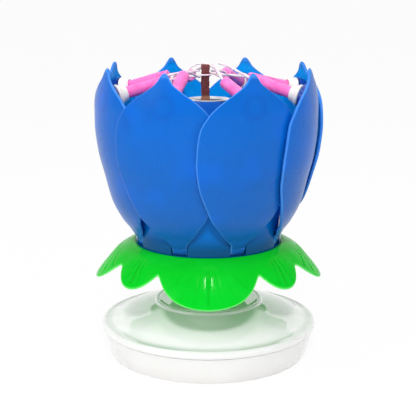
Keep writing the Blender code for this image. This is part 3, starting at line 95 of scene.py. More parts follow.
# Sizes of the bosses and holders
BOSS_RADIUS = 0.0041
BOSS_BELOW_TIP = 0.0106
BOSS_END = 0.00455
BOSS_PLACE_SHARES = [0, 0.08, 0.2, 0.35, 0.93, 1.0, 1.0]
BOSS_RADIUS_SHARES = [1.14, 1.05, 1.01, 1.0, 1.0, 0.94, 0.0]
# Radius share and width of the ring of painted shade over the boss
BOSS_SHADE_RADIUS_SHARE = 0.8
BOSS_SHADE_WIDTH = 0.0009
HOLDER_FLARE = 0.0038
HOLDER_NOSE = 0.0025
HOLDER_LENGTH = 0.0034
HOLDER_FOOT_SHARE = 0.93
HOLDER_RIM_HEIGHT = 0.0006
HOLDER_RIM_SOFTNESS = 0.0004
HOLDER_WAIST_HEIGHT = 0.0018
HOLDER_WAIST_STEP = 0.0004
HOLDER_WAIST_SOFTNESS = 0.0009
SOCKET_DEPTH = 0.0020

# Sizes of the candles and wicks
CANDLE_TILT = math.radians(15)
CANDLE_FOOT = BOSS_END + GAP + HOLDER_LENGTH - SOCKET_DEPTH + GAP
CANDLE_RADIUS = 0.0021
CANDLE_LENGTH = 0.0167
CANDLE_PLAY = 0.00008
CANDLE_END_PLAY = 0.00006
CANDLE_WAVE = 0.00002
CANDLE_WAVE_TURN = 260
CANDLE_END_SIDE = 0.0007
CANDLE_END_SOFTNESS = 0.0004
CANDLE_RIM = 0.0016
WICK_DIP = 0.0004
# Degrees that each candle leans up and sideways
CANDLE_LEANS = [(-1, 1), (1, -2), (-2, 1), (2, 1), (-1, -1), (1, 2), (-1, -1), (8, 8)]
WICK_RADIUS = 0.00048
WICK_ROOT = 0.0003
WICK_STRAY = 0.0003
WICK_SEED = 100
WICK_TWIST = 18.0
WICK_STRANDS = 3
STRAND_SWELL = 0.08
WICK_ENDS = [(0.0013, -0.0020, 0.1029), (0.0034, -0.0010, 0.1030), (0.0012, 0.0006, 0.0994),
             (0.0009, 0.0016, 0.1002), (-0.0022, 0.0015, 0.1012), (-0.0030, 0.0008, 0.1004),
             (-0.0032, 0.0, 0.0986), (-0.0029, -0.0013, 0.0983)]

# Sizes of the calyx
CALYX_FOOT = 0.0345
CALYX_WALL = 0.0011
CALYX_LIP_TOP = 0.0408
CALYX_LIP_RADIUS = 0.0268
CALYX_LOBE_REACH = 0.0138
CALYX_SKIRT_DROP = 0.0136
CALYX_HOLE = 0.0024
CALYX_RIM = 0.0012
CUP_CHAMFER = 0.001
CUP_FILLET = 0.0008
LIP_PLAY = 0.00005
LIP_LAND_LOW = 0.0007
LIP_LAND_HIGH = 0.0002
SKIRT_RADIUS_SHARES = [0.0, 0.217, 0.42, 0.609, 0.775, 0.906, 1.0]
SKIRT_DROP_SHARES = [0.0, 0.096, 0.235, 0.449, 0.662, 0.853, 1.0]
SKIRT_LENGTH_SHARE = 0.75
RIM_WALL_SHARE = 0.55
RIM_TAPER = 0.006
LARGE_LOBE_HALF_ANGLE = math.radians(29.5)
SMALL_LOBE_REACH = 0.74
NOTCH_REACH = 0.44
NOTCH_ROUNDNESS = 0.25
LARGE_LOBE_ROUNDNESS = 0.78
SIDE_LOBE_ROUNDNESS = 1.25
SMALL_LOBE_ROUNDNESS = 0.85
SIDE_LOBE_LIFT = 0.0008

# Veins of the calyx: angles in radians, and for a vein its width and strength
VEIN_DEPTH = 0.00024
VEIN_ROOT_SPREAD = 0.35
VEIN_FADES = (0.15, 0.45, 0.80, 0.95)
LARGE_LOBE_VEIN_STEP = 0.135
SMALL_LOBE_VEIN_STEP = 0.085
MIDDLE_VEIN = (0.010, 0.9)
OTHER_VEIN = (0.008, 0.25)
SIDE_LOBE_VEIN_SHARE = 1.3
UNDER_VEIN_SHARE = 0.3
UNDER_SHADE_SHARE = 0.6
NO_VEIN_ANGLE = 9.0

# The bowl's windows for the stems
WINDOW_BELOW_HINGE = 0.0024
WINDOW_ABOVE_HINGE = 0.0030
WINDOW_POWER = 12.5
WINDOW_INNER_RADIUS = 0.0206
WINDOW_OUTER_RADIUS = 0.0280

# Sizes of the sparkler
TUBE_RADIUS = 0.0076
TUBE_WALL = 0.0012
TUBE_FOOT = 0.0375
TUBE_TOP = 0.0906
TUBE_FOOT_BEVEL = 0.002
TUBE_BEVEL_SOFTNESS = 0.0005
TUBE_MOUTH_DROP = 0.0001
TUBE_MOUTH_LAND = 0.004
TUBE_MOUTH_SOFTNESS = 0.0004
PAPER_PLAY = 0.0001
PAPER_FOOT_LIFT = 0.004
PAPER_LIP_RISE = 0.0002
PAPER_LIP_DEPTH = 0.0008
PAPER_LIP_WIDTH = 0.0010
PAPER_FLOOR_START = 0.0013
POWDER_START = 0.0014
POWDER_FULL = 0.0016
FUSE_FOOT = 0.0900
FUSE_TOP = 0.1025
FUSE_ROOT = 0.0009
FUSE_WIDTH = 0.0030
FUSE_WIDTH_SHARE = 0.97
FUSE_THICKNESS = 0.0012
FUSE_OFFSET = -0.0011
FUSE_POWER = 4
FUSE_SWAY = 0.00006
FUSE_RIPPLE = 0.00005
THREAD_RADIUS = 0.00030
THREAD_POWER = 10 / 3
THREAD_CLIMB = 0.0002
LOOSE_END_SHARE = 1.2
KNOT_BELOW_TOP = 0.0037
KNOT_RADIUS = 0.0004
KNOT_BEHIND = 0.0006
THREAD_ENDS = [
    [(0.0006, 0.0008, 0.0995), (0.0016, -0.0002, 0.1000), (0.0024, -0.0012, 0.0990),
     (0.0036, -0.0016, 0.0986)],
    [(0.0029, -0.0008, 0.0999), (0.0014, 0.0012, 0.1030), (-0.0044, 0.0024, 0.1042),
     (-0.0072, 0.0, 0.1003)]]

# Corners of the turned outlines: radius, height and how far each is rounded
BOWL_CORNERS = [
    (0.0027, 0.0359, 0), (0.0243, 0.0359, 0.0008), (0.0258, 0.0374, 0.0008), (0.0258, 0.0430, 0.003),
    (0.02535, 0.0464, 0.004), (0.0262, 0.0508, 0.003), (0.0276, 0.0551, 0.0003), (0.0274, 0.0555, 0.0002),
    (0.0265, 0.0555, 0.0002), (0.0250, 0.0500, 0.003), (0.0240, 0.0454, 0.0003), (0.0224, 0.0452, 0.0002),
    (0.0224, 0.0412, 0.0002), (0.0246, 0.0390, 0.0006), (0.0246, 0.0372, 0.0008), (0.0092, 0.0372, 0.0003),
    (0.0092, 0.0417, 0.0003), (0.0079, 0.0417, 0.0003), (0.0079, 0.0372, 0.0001), (0.0027, 0.0372, 0)]
LID_CORNERS = [
    (0.0361, 0.0095, 0.0002), (0.0379, 0.0094, 0.0003), (0.0383, 0.0100, 0.0005), (0.0383, 0.0113, 0.0010),
    (0.0374, 0.0122, 0.0010), (0.0360, 0.01185, 0.0015), (0.0342, 0.0124, 0.0025), (0.0303, 0.0148, 0.004),
    (0.0247, 0.0167, 0.004), (0.0204, 0.0180, 0.0008), (0.0192, 0.0184, 0.0004), (0.0191, 0.0190, 0.0003),
    (0.0187, 0.0193, 0.0002), (0.0180, 0.0192, 0.0001), (0.0180, 0.0186, 0.0001), (0.0178, 0.0172, 0.0004),
    (0.0168, 0.0170, 0.0004), (0.0064, 0.0170, 0.0002), (0.0064, 0.0155, 0.0002), (0.0180, 0.0155, 0.001),
    (0.0247, 0.0150, 0.003), (0.0303, 0.0132, 0.003), (0.0350, 0.0106, 0.001)]
SPINDLE_CORNERS = [
    (0.0025, 0.0066, 0.0001), (0.0040, 0.0066, 0.0003), (0.0040, 0.0184, 0.0003), (0.01788, 0.0184, 0.0001),
    (0.01792, 0.0192, 0.0001), (0.0172, 0.0194, 0.0004), (0.0080, 0.0196, 0.0007), (0.0080, 0.0328, 0.0008),
    (0.0125, 0.0328, 0.0003), (0.0125, 0.0342, 0.0003), (0.0015, 0.0342, 0.0001), (0.0015, 0.0279, 0),
    (0, 0.0279, 0), (0, 0.0101, 0), (0.0025, 0.0101, 0)]
LOWER_SHELL_CREASE = math.radians(28)

# Heights and radii over which the shades change on the bowl and the base; the bowl's darker foot and the
# lid's rim and groove are painted shade
BOWL_SHADE_HEIGHTS = (0.0425, 0.049)
SEAM_HEIGHTS = (0.0090, 0.0100)
RIM_SHADE_RADII = (0.0360, 0.0368)
GROOVE_INNER_RADII = (0.0342, 0.0354)
GROOVE_OUTER_RADII = (0.0360, 0.0369)
GROOVE_HEIGHTS = (0.0110, 0.0114)

# Shades, in linear red, green and blue
PETAL_FOOT_BLUE = (0.008, 0.114, 0.430)
PETAL_TOP_BLUE = (0.001, 0.118, 0.505)
PETAL_CLOUD_BLUE = (0.000, 0.135, 0.700)
# Painted shade in clouds where the candles inside show through
PETAL_CANDLE_SHADE_BLUE = (0.003, 0.075, 0.400)
# Painted shade of the boss, showing through the petal as a faint ring
PETAL_BOSS_SHADE_BLUE = (0.003, 0.075, 0.420)
# Painted light on the petals' inner faces, as if shining through the plastic
PETAL_LIT_INSIDE_BLUE = (0.003, 0.360, 0.900)
# Painted highlight along the petals' thin rims
PETAL_RIM_HIGHLIGHT_BLUE = (0.090, 0.330, 0.860)
# The boss's blues: the petal plastic in painted shade, as it lies under its holder
BOSS_DEEP_SHADE_BLUE = (0.004, 0.030, 0.260)
BOSS_SHADE_BLUE = (0.008, 0.065, 0.380)
# The bowl's foot in painted shade
BOWL_SHADED_FOOT_TEAL = (0.0, 0.070, 0.200)
BOWL_TOP_BLUE = (0.0, 0.155, 0.560)
BOWL_CLOUD_TEAL = (0.0, 0.100, 0.330)
TUBE_DEEP_BLUE = (0.004, 0.110, 0.520)
TUBE_BLUE = (0.007, 0.140, 0.600)
LEAF_ROOT_GREEN = (0.003, 0.480, 0.016)
LEAF_END_GREEN = (0.002, 0.530, 0.019)
LEAF_CLOUD_GREEN = (0.006, 0.600, 0.038)
# Painted shade in the calyx's grooves
LEAF_GROOVE_SHADE_GREEN = (0.0, 0.300, 0.0)
# Painted light through the calyx's thin rim
LEAF_RIM_GLOW_GREEN = (0.220, 0.860, 0.240)
LOWER_SHELL_WHITE = (0.800, 0.790, 0.775)
LID_WHITE = (0.925, 0.890, 0.915)
SHELL_CLOUD_WHITE = (0.895, 0.895, 0.885)
# The lid's rim in painted shade, toned down where the key light falls strongest
LID_RIM_SHADE_WHITE = (0.790, 0.790, 0.780)
# Painted grey-green shade in the lid's groove
LID_GROOVE_SHADE = (0.600, 0.670, 0.610)
HOLDER_CREAM = (0.850, 0.800, 0.740)
HOLDER_WHITE = (0.900, 0.880, 0.850)
WAX_PINK = (0.980, 0.140, 0.500)
WAX_PALE_PINK = (1.0, 0.235, 0.620)
WAX_RIM_PINK = (1.0, 0.350, 0.700)
COTTON_WHITE = (0.930, 0.830, 0.850)
COTTON_WAXED = (0.930, 0.640, 0.730)
COTTON_FIBRE = (0.860, 0.640, 0.700)
FUSE_DARK_BROWN = (0.075, 0.011, 0.014)
FUSE_RED_BROWN = (0.210, 0.052, 0.052)
FUSE_BURNT_TOP = (0.330, 0.090, 0.080)
FUSE_TAN_FOOT = (0.420, 0.200, 0.110)
FUSE_BAND_BROWN = (0.240, 0.085, 0.070)
PAPER_WHITE = (0.840, 0.840, 0.860)
PAPER_GRAIN_GREY = (0.420, 0.420, 0.450)
POWDER_GREY = (0.060, 0.065, 0.080)

# Stage, surroundings and camera
FLOOR_REACH = 8.0
FLOOR_GREY = (0.85, 0.85, 0.85)
FLOOR_GLOW = 0.94
AMBIENT_GLOW = 0.60
FRONT_GLOW = 0.08
BEHIND_RANGE = (0.1, 0.8)
# Lamps: name, place, height that each aims at on the axis, side and power
LAMPS = [
    ("key", (-0.01, -0.63, 0.56), 0.02, 0.08, 2.9),
    ("spark", (0.0, -0.42, 0.80), 0.05, 0.05, 0.7),
    ("glint", (0.0, -0.42, 0.80), 0.05, 0.05, 1.2),
    ("right_fill", (0.50, -0.30, 0.35), 0.05, 0.4, 0.3),
    ("left_fill", (-0.50, -0.30, 0.35), 0.05, 0.4, 1.1),
    ("top", (0.0, 0.15, 0.70), 0.06, 0.4, 0.8)]
CAMERA_PLACE = (0, -0.35625, 0.131625)
CAMERA_PITCH = math.radians(77.4)
CAMERA_SENSOR = 36
CAMERA_LENS = 89.22
CAMERA_SHIFT = -0.0012
CAMERA_NEAR = 0.01


def curve(shares, at):
    """Smooth values at places, through (place, value) pairs.

    Between two pairs it is the cubic whose end slopes are the harmonic means
    of the slopes on both sides, so it never overshoots.
    """
    x, y = np.array(shares, float).T
    at = np.clip(np.asarray(at, float), x[0], x[-1])
    slopes = np.diff(y) / np.diff(x)
    both = slopes[:-1] * slopes[1:]
    total = np.where(both > 0, slopes[:-1] + slopes[1:], 1)
    tangents = np.concatenate([slopes[:1], np.where(both > 0, 2 * both / total, 0), slopes[-1:]])
    k = np.clip(np.searchsorted(x, at) - 1, 0, len(x) - 2)
    width = x[k + 1] - x[k]
    t = (at - x[k]) / width
    rise = (1 + 2 * t) * (1 - t) ** 2 * y[k] + t * (1 - t) ** 2 * width * tangents[k]
    return rise + t * t * (3 - 2 * t) * y[k + 1] + t * t * (t - 1) * width * tangents[k + 1]


def step_up(low, high, at):
    """Smooth step: 0 below low, 1 above high, 3t^2 - 2t^3 between."""
    t = np.clip((np.asarray(at, float) - low) / (high - low), 0, 1)
    return t * t * (3 - 2 * t)


def quarter_ellipse(distance, reach):
    """Height over an edge: 0 on it, 1 from the reach on, a quarter ellipse between."""
    return np.sqrt(1 - (1 - np.clip(distance / reach, 0, 1)) ** 2)


def circle(count):
    """Evenly spaced angles of one full turn, as a row."""
    return (FULL_TURN * np.arange(count) / count)[None, :]


def superellipse(turn, half_width, half_height, power):
    """Both coordinates of a rounded rectangle: |cos|^(2/power) and |sin|^(2/power)."""
    c, s = np.cos(turn), np.sin(turn)
    return (np.sign(c) * np.abs(c) ** (2 / power) * half_width,
            np.sign(s) * np.abs(s) ** (2 / power) * half_height)


def grid_faces(rows, columns, close_rows=False, close_columns=False):
    """Faces between neighbouring points of a rows by columns grid, as indices."""
    r, c = np.meshgrid(np.arange(rows if close_rows else rows - 1),
                       np.arange(columns if close_columns else columns - 1), indexing="ij")
    below, beside = (r + 1) % rows, (c + 1) % columns
    corners = [r * columns + c, r * columns + beside, below * columns + beside, below * columns + c]
    return np.stack(corners, -1).reshape(-1, 4)


class Form:
    """Points, faces and values per point of a surface that isn't yet a mesh."""

    def __init__(self, points, faces, **values):
        self.points = np.asarray(points, float).reshape(-1, 3)
        self.faces = faces
        self.values = {key: np.asarray(value, float).reshape(-1) for key, value in values.items()}

    def moved(self, matrix, offset=(0, 0, 0)):
        """Every point p becomes matrix p + offset."""
        return Form(self.points @ np.asarray(matrix).T + np.asarray(offset), self.faces, **self.values)


def joined(forms):
    """Several forms as one; a value that a form lacks is 0 there."""
    starts = np.cumsum([0] + [len(form.points) for form in forms[:-1]])
    whole = Form(np.concatenate([form.points for form in forms]),
                 np.concatenate([form.faces + start for form, start in zip(forms, starts)]))
    for key in sorted({key for form in forms for key in form.values}):
        parts = [form.values.get(key, np.zeros(len(form.points))) for form in forms]
        whole.values[key] = np.concatenate(parts)
    return whole


def turned(angle, axis=2):
    """Rotation matrix by an angle about X, Y or Z."""
    c, s = math.cos(angle), math.sin(angle)
    i, j = [(1, 2), (2, 0), (0, 1)][axis]
    matrix = np.eye(3)
    matrix[i, i] = matrix[j, j] = c
    matrix[i, j], matrix[j, i] = -s, s
    return matrix


def closed_mesh(name, form):
    """A form as a mesh, with its doubles merged and its faces turned out."""
    mesh = bpy.data.meshes.new(name)
    mesh.from_pydata(form.points.tolist(), [], form.faces.tolist())
    for key, value in form.values.items():
        mesh.attributes.new(key, "FLOAT", "POINT").data.foreach_set("value", value)
    bm = bmesh.new()
    bm.from_mesh(mesh)
    bmesh.ops.remove_doubles(bm, verts=bm.verts, dist=MERGE_DISTANCE)
    bmesh.ops.recalc_face_normals(bm, faces=bm.faces)
    bm.to_mesh(mesh)
    bm.free()
    return mesh


def make_piece(name, form, finish, body, slot, stands_for=(), crease=CREASE):
    """A piece of a form, smooth up to the crease, with its finish and body; the slot is not used."""
    mesh = closed_mesh(name, form)
    mesh.materials.append(finish)
    mesh.shade_smooth()
    mesh.set_sharp_from_angle(angle=crease)
    obj = bpy.data.objects.new(name, mesh)
    bpy.context.collection.objects.link(obj)
    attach(obj, body)
    if stands_for:
        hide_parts(*stands_for)
    return obj


def softened(corners, steps=5):
    """An outline of (radius, height, softness) corners with each corner rounded.

    A soft corner becomes a quadratic curve between points at that distance
    along both of its sides.
    """
    corners = np.array(corners, float)
    places, out = corners[:, :2], []
    for i, (place, soft) in enumerate(zip(places, corners[:, 2])):
        if soft == 0:
            out.append(place[None])
            continue
        sides = places[i - 1] - place, places[(i + 1) % len(places)] - place
        lengths = [np.linalg.norm(side) for side in sides]
        start, end = [place + side * (min(soft, SOFTEST_SHARE * length) / length)
                      for side, length in zip(sides, lengths)]
        t = np.linspace(0, 1, steps)[:, None]
        out.append((1 - t) ** 2 * start + 2 * t * (1 - t) * place + t * t * end)
    return np.concatenate(out)


def lathe(outline, segments, closed=False, **values):
    """A (radius, height) outline turned about Z: (r cos a, r sin a, h)."""
    outline = np.asarray(outline, float)
    turn = circle(segments)
    radius, height = outline[:, :1], outline[:, 1:]
    points = np.stack([radius * np.cos(turn), radius * np.sin(turn), height + 0 * turn], -1)
    return Form(points, grid_faces(len(outline), segments, closed, True), **values)


def along_path(path, radius, sides=12, twist=0.0, strands=0, closed=False):
    """A round tube along points: each point's circle stands square to the path.

    The circles' directions are carried along the path without turning.  With
    strands the radius swells and sinks that many times round each circle, and
    twist is the angle that this pattern turns from one end to the other.
    """
    path = np.asarray(path, float)
    ahead = np.roll(path, -1, 0) - np.roll(path, 1, 0)
    if not closed:
        ahead[0], ahead[-1] = path[1] - path[0], path[-1] - path[-2]
    ahead /= np.linalg.norm(ahead, axis=1)[:, None]
    steep = abs(ahead[0][2]) >= 0.9
    start = np.cross(ahead[0], (0, 1, 0) if steep else (0, 0, 1))
    sidewise = [start / np.linalg.norm(start)]
    for direction in ahead[1:]:
        carried = sidewise[-1] - direction * (sidewise[-1] @ direction)
        sidewise.append(carried / np.linalg.norm(carried))
    sidewise = np.array(sidewise)[:, None]
    upward = np.cross(ahead, sidewise[:, 0])[:, None]
    turn = circle(sides)
    share = np.linspace(0, 1, len(path))[:, None]
    radius = np.broadcast_to(np.asarray(radius, float).reshape(-1, 1), (len(path), 1))
    swell = STRAND_SWELL * np.cos(strands * turn - twist * share) - STRAND_SWELL / 2
    reach = (radius * (1 + (swell if strands else 0 * turn)))[..., None]
    points = path[:, None] + reach * (np.cos(turn)[..., None] * sidewise + np.sin(turn)[..., None] * upward)
    if not closed:
        points = np.concatenate([path[None, :1] + 0 * points[:1], points, path[None, -1:] + 0 * points[:1]])
        share = np.concatenate([share[:1], share, share[-1:]])
    return Form(points, grid_faces(len(points), sides, closed, True), along=share + 0 * turn)


def bezier(controls, count):
    """Points of the cubic curve of four controls: the Bernstein weights' sum."""
    t = np.linspace(0, 1, count)[:, None]
    p = np.asarray(controls, float)
    return (1 - t) ** 3 * p[0] + 3 * t * (1 - t) ** 2 * p[1] + 3 * t * t * (1 - t) * p[2] + t ** 3 * p[3]


# Finishes


class Number:
    """A socket's value, in which a sum adds a Math node."""

    def __init__(self, tree, socket):
        self.tree, self.socket = tree, socket

    def maths(self, operation, *others):
        """A Math node of that operation on those values."""
        node = self.tree.nodes.new("ShaderNodeMath")
        node.operation = operation
        for socket, value in zip(node.inputs, others):
            feed(self.tree, socket, value)
        return Number(self.tree, node.outputs[0])

    def __add__(self, other):
        return self.maths("ADD", self, other)

    def __radd__(self, other):
        return self.maths("ADD", other, self)

    def __rsub__(self, other):
        return self.maths("SUBTRACT", other, self)

    def __mul__(self, other):
        return self.maths("MULTIPLY", self, other)

    def __rmul__(self, other):
        return self.maths("MULTIPLY", other, self)

    def above(self, low, high):
        """0 below low and 1 above high, smooth between."""
        node = self.tree.nodes.new("ShaderNodeMapRange")
        node.interpolation_type = "SMOOTHSTEP"
        feed(self.tree, node.inputs["Value"], self)
        node.inputs["From Min"].default_value = low
        node.inputs["From Max"].default_value = high
        return Number(self.tree, node.outputs["Result"])


def feed(tree, socket, value):
    """Links a socket to a value, or writes a plain value on it."""
    if isinstance(value, Number):
        tree.links.new(value.socket, socket)
    elif isinstance(value, (tuple, list)) and socket.type == "RGBA":
        socket.default_value = (*value, 1.0)[:4]
    else:
        socket.default_value = value


class Finish:
    """A material under construction."""

    def __init__(self, name):
        self.material = bpy.data.materials.new(name)
        self.material.use_nodes = True
        self.tree = self.material.node_tree
        self.shader = self.tree.nodes["Principled BSDF"]

    def node(self, kind, settings=None, inputs=None, output=0):
        """Adds a node of a type, with its settings first and then its sockets."""
        node = self.tree.nodes.new("ShaderNode" + kind)
        for key, value in (settings or {}).items():
            setattr(node, key, value)
        for key, value in (inputs or {}).items():
            feed(self.tree, node.inputs[key], value)
        return Number(self.tree, node.outputs[output])

    def place(self, scale=(1, 1, 1)):
        """Object coordinates, stretched by a scale."""
        place = self.node("TexCoord", output="Object")
        if scale == (1, 1, 1):
            return place
        return self.node("Mapping", inputs={"Vector": place, "Scale": scale})

    def height(self):
        """Height over what the base stands on."""
        return self.node("SeparateXYZ", inputs={0: self.place()}, output="Z")

    def noise(self, scale, detail=3.0, roughness=0.5, stretch=(1, 1, 1)):
        """Noise whose grains are about 1 / scale metres, from 0 to 1."""
        return self.node("TexNoise", inputs={"Vector": self.place(stretch), "Scale": scale, "Detail": detail,
                                             "Roughness": roughness}, output="Fac")

    def value(self, name):
        """The piece's own value of that name."""
        return self.node("Attribute", {"attribute_name": name}, output="Fac")

    def mixed(self, factor, first, second):
        """From the first colour to the second as the factor goes from 0 to 1."""
        return self.node("Mix", {"data_type": "RGBA"}, {0: factor, 6: first, 7: second}, 2)

    def bump(self, height, depth):
        """Bump of a height between 0 and 1, over a real depth in metres."""
        normal = self.node("Bump", inputs={"Height": height, "Distance": depth, "Strength": 1.0},
                           output="Normal")
        self.tree.links.new(normal.socket, self.shader.inputs["Normal"])

    def sockets(self, **values):
        """Writes the shader's own sockets; a name's underscores stand for spaces."""
        for key, value in values.items():
            feed(self.tree, self.shader.inputs[key.replace("_", " ")], value)
        return self.material


def clouded_finish(name, low, high, grain, roughness, detail=2.0, depth=0.00008, start=0.3, dulling=0.1,
                   **others):
    """Two close shades in a cloudy grain, which also raises and dulls the surface."""
    f = Finish(name)
    cloud = f.noise(grain, detail)
    f.bump(cloud, depth)
    return f.sockets(Base_Color=f.mixed(cloud.above(start, 0.7), low, high),
                     Roughness=roughness + dulling * cloud, **others)


def hidden_finish(name, low, high, grain, roughness, metallic=0.0):
    """A hidden piece's finish: two close shades in a fine grain."""
    return clouded_finish(name, low, high, grain, roughness, 3.0, 0.0001, dulling=0.12, Metallic=metallic)


def petal_plastic():
    """Blue moulding, painted with rim highlights, lit inner faces, and shade over the boss and where the
    candles show through.
    """
    f = Finish("petal_plastic")
    reach, rim, inside = f.value("reach"), f.value("rim"), f.value("inside")
    cloud, candle_shade, fine = f.noise(60, 2.0), f.noise(150, 1.0, stretch=(1, 1, 0.4)), f.noise(1500, 2.0)
    body = f.mixed(reach.above(0.05, 0.75), PETAL_FOOT_BLUE, PETAL_TOP_BLUE)
    body = f.mixed(cloud.above(0.45, 0.75) * 0.5, body, PETAL_CLOUD_BLUE)
    # Painted shade in soft clouds on the upper part, where the candles inside show through
    body = f.mixed(candle_shade.above(0.55, 0.8) * reach.above(0.45, 0.8) * 0.5, body, PETAL_CANDLE_SHADE_BLUE)
    # Painted shade of the boss showing through the petal, as a faint ring
    body = f.mixed(f.value("mark") * 0.4, body, PETAL_BOSS_SHADE_BLUE)
    # Painted light on the inner faces
    body = f.mixed(inside, body, PETAL_LIT_INSIDE_BLUE)
    # Painted highlight along the petal's thin rim
    body = f.mixed(rim.above(0.35, 0.9) * 0.5, body, PETAL_RIM_HIGHLIGHT_BLUE)
    f.bump(fine, depth=0.000004)
    return f.sockets(Base_Color=body, Roughness=0.24 + 0.08 * cloud, Subsurface_Weight=0.2,
                     Subsurface_Radius=(0.2, 0.6, 1.0), Subsurface_Scale=0.0012, Specular_IOR_Level=0.15)


def bowl_plastic():
    """Deep teal blue of the bowl, with painted shade that darkens it towards its foot."""
    f = Finish("bowl_plastic")
    cloud = f.noise(130, 2.0)
    # Painted shade, darker towards the bowl's foot
    body = f.mixed(f.height().above(*BOWL_SHADE_HEIGHTS), BOWL_SHADED_FOOT_TEAL, BOWL_TOP_BLUE)
    body = f.mixed(cloud.above(0.45, 0.8) * 0.3, body, BOWL_CLOUD_TEAL)
    f.bump(cloud, depth=0.00003)
    return f.sockets(Base_Color=body, Roughness=0.12 + 0.06 * cloud, Specular_IOR_Level=0.1)


def leaf_plastic():
    """Glossy green moulding with painted shade in its grooves and painted light through its thin rim."""
    f = Finish("leaf_plastic")
    rim, vein, reach = f.value("rim"), f.value("vein"), f.value("reach")
    cloud, fine = f.noise(90, 2.0), f.noise(1400, 2.0)
    body = f.mixed(reach.above(0.1, 0.9), LEAF_ROOT_GREEN, LEAF_END_GREEN)
    body = f.mixed(cloud.above(0.45, 0.8) * 0.3, body, LEAF_CLOUD_GREEN)
    # Painted shade in the grooves of the veins
    body = f.mixed(vein * 0.35, body, LEAF_GROOVE_SHADE_GREEN)
    # Painted light through the thin translucent rim
    body = f.mixed(rim.above(0.3, 0.95) * 0.6, body, LEAF_RIM_GLOW_GREEN)
    f.bump(cloud * 0.5 + fine * 0.02, depth=0.00004)
    return f.sockets(Base_Color=body, Roughness=0.10 + 0.05 * cloud, Subsurface_Weight=0.15,
                     Subsurface_Radius=(0.3, 1.0, 0.3), Subsurface_Scale=0.0012, Specular_IOR_Level=0.05)


def shell_plastic():
    """Milky white base: painted shade on the lid's rim and, grey-green, in the groove inside it; faint
    scuffs on its gloss.
    """
    f = Finish("shell_plastic")
    height = f.height()
    radius = f.node("VectorMath", {"operation": "LENGTH"}, {0: f.place((1, 1, 0))}, "Value")
    cloud, scuff = f.noise(60, 3.0), f.noise(900, 4.0, 0.6, (1, 1, 0.2))
    lid = height.above(*SEAM_HEIGHTS)
    # The groove inside the lid's rim, for painted grey-green shade
    inside_rim = 1 - radius.above(*GROOVE_OUTER_RADII)
    groove = radius.above(*GROOVE_INNER_RADII) * inside_rim * height.above(*GROOVE_HEIGHTS)
    body = f.mixed(lid, LOWER_SHELL_WHITE, LID_WHITE)
    body = f.mixed(cloud.above(0.4, 0.8) * 0.4, body, SHELL_CLOUD_WHITE)
    # Painted shade on the lid's rim, where the key light falls strongest
    body = f.mixed(radius.above(*RIM_SHADE_RADII) * lid, body, LID_RIM_SHADE_WHITE)
    # Painted grey-green shade in the groove
    body = f.mixed(groove * 0.45, body, LID_GROOVE_SHADE)
    f.bump(cloud * 0.4 + scuff.above(0.62, 0.8) * 0.1, depth=0.00001)
    return f.sockets(Base_Color=body, Roughness=0.02 + 0.03 * scuff, Subsurface_Weight=0.15,
                     Subsurface_Radius=(1.0, 1.0, 1.0), Subsurface_Scale=0.002, Coat_Weight=1.0,
                     Coat_Roughness=0.02)


def pink_wax():
    """Soft pink wax with pale rubbed patches and fine pits."""
    f = Finish("pink_wax")
    cloud, pits = f.noise(300, 3.0), f.noise(1800, 2.0)
    body = f.mixed(cloud.above(0.3, 0.75), WAX_PINK, WAX_PALE_PINK)
    body = f.mixed(f.value("rim") * 0.5, body, WAX_RIM_PINK)
    f.bump(cloud * 0.6 + pits.above(0.55, 0.8) * 0.2, depth=0.00008)
    return f.sockets(Base_Color=body, Roughness=0.38 + 0.15 * cloud, Subsurface_Weight=0.6,
                     Subsurface_Radius=(1.0, 0.35, 0.6), Subsurface_Scale=0.0015)


def cotton():
    """Waxed white cotton with a faint pink of the wax."""
    f = Finish("cotton")
    fibre, wax = f.noise(2600, 3.0), f.noise(240, 2.0)
    body = f.mixed(wax.above(0.4, 0.7), COTTON_WHITE, COTTON_WAXED)
    body = f.mixed(fibre.above(0.5, 0.8) * 0.4, body, COTTON_FIBRE)
    f.bump(fibre, depth=0.0001)
    return f.sockets(Base_Color=body, Roughness=0.6 + 0.2 * fibre)


def fuse_paper():
    """Rough red-brown fuse strip, burnt lighter at its top and tan at its foot."""
    f = Finish("fuse_paper")
    grain, band = f.noise(1600, 4.0, 0.65), f.noise(420, 2.0, stretch=(1, 1, 2.5))
    along = f.value("along")
    body = f.mixed(grain.above(0.3, 0.7), FUSE_DARK_BROWN, FUSE_RED_BROWN)
    body = f.mixed(along.above(0.72, 1.0) * 0.5, body, FUSE_BURNT_TOP)
    body = f.mixed((1 - along).above(0.76, 0.84) * 0.7, body, FUSE_TAN_FOOT)
    body = f.mixed(band.above(0.5, 0.75) * 0.4, body, FUSE_BAND_BROWN)
    f.bump(grain, depth=0.00035)
    return f.sockets(Base_Color=body, Roughness=0.75 + 0.2 * grain)


def cartridge_paper():
    """Pressed white paper cup with grey powder in the middle."""
    f = Finish("cartridge_paper")
    grain = f.noise(2200, 3.0)
    body = f.mixed(f.value("along").above(0.45, 0.55), PAPER_WHITE, POWDER_GREY)
    body = f.mixed(grain.above(0.45, 0.8) * 0.35, body, PAPER_GRAIN_GREY)
    f.bump(grain, depth=0.0002)
    return f.sockets(Base_Color=body, Roughness=0.65 + 0.2 * grain)


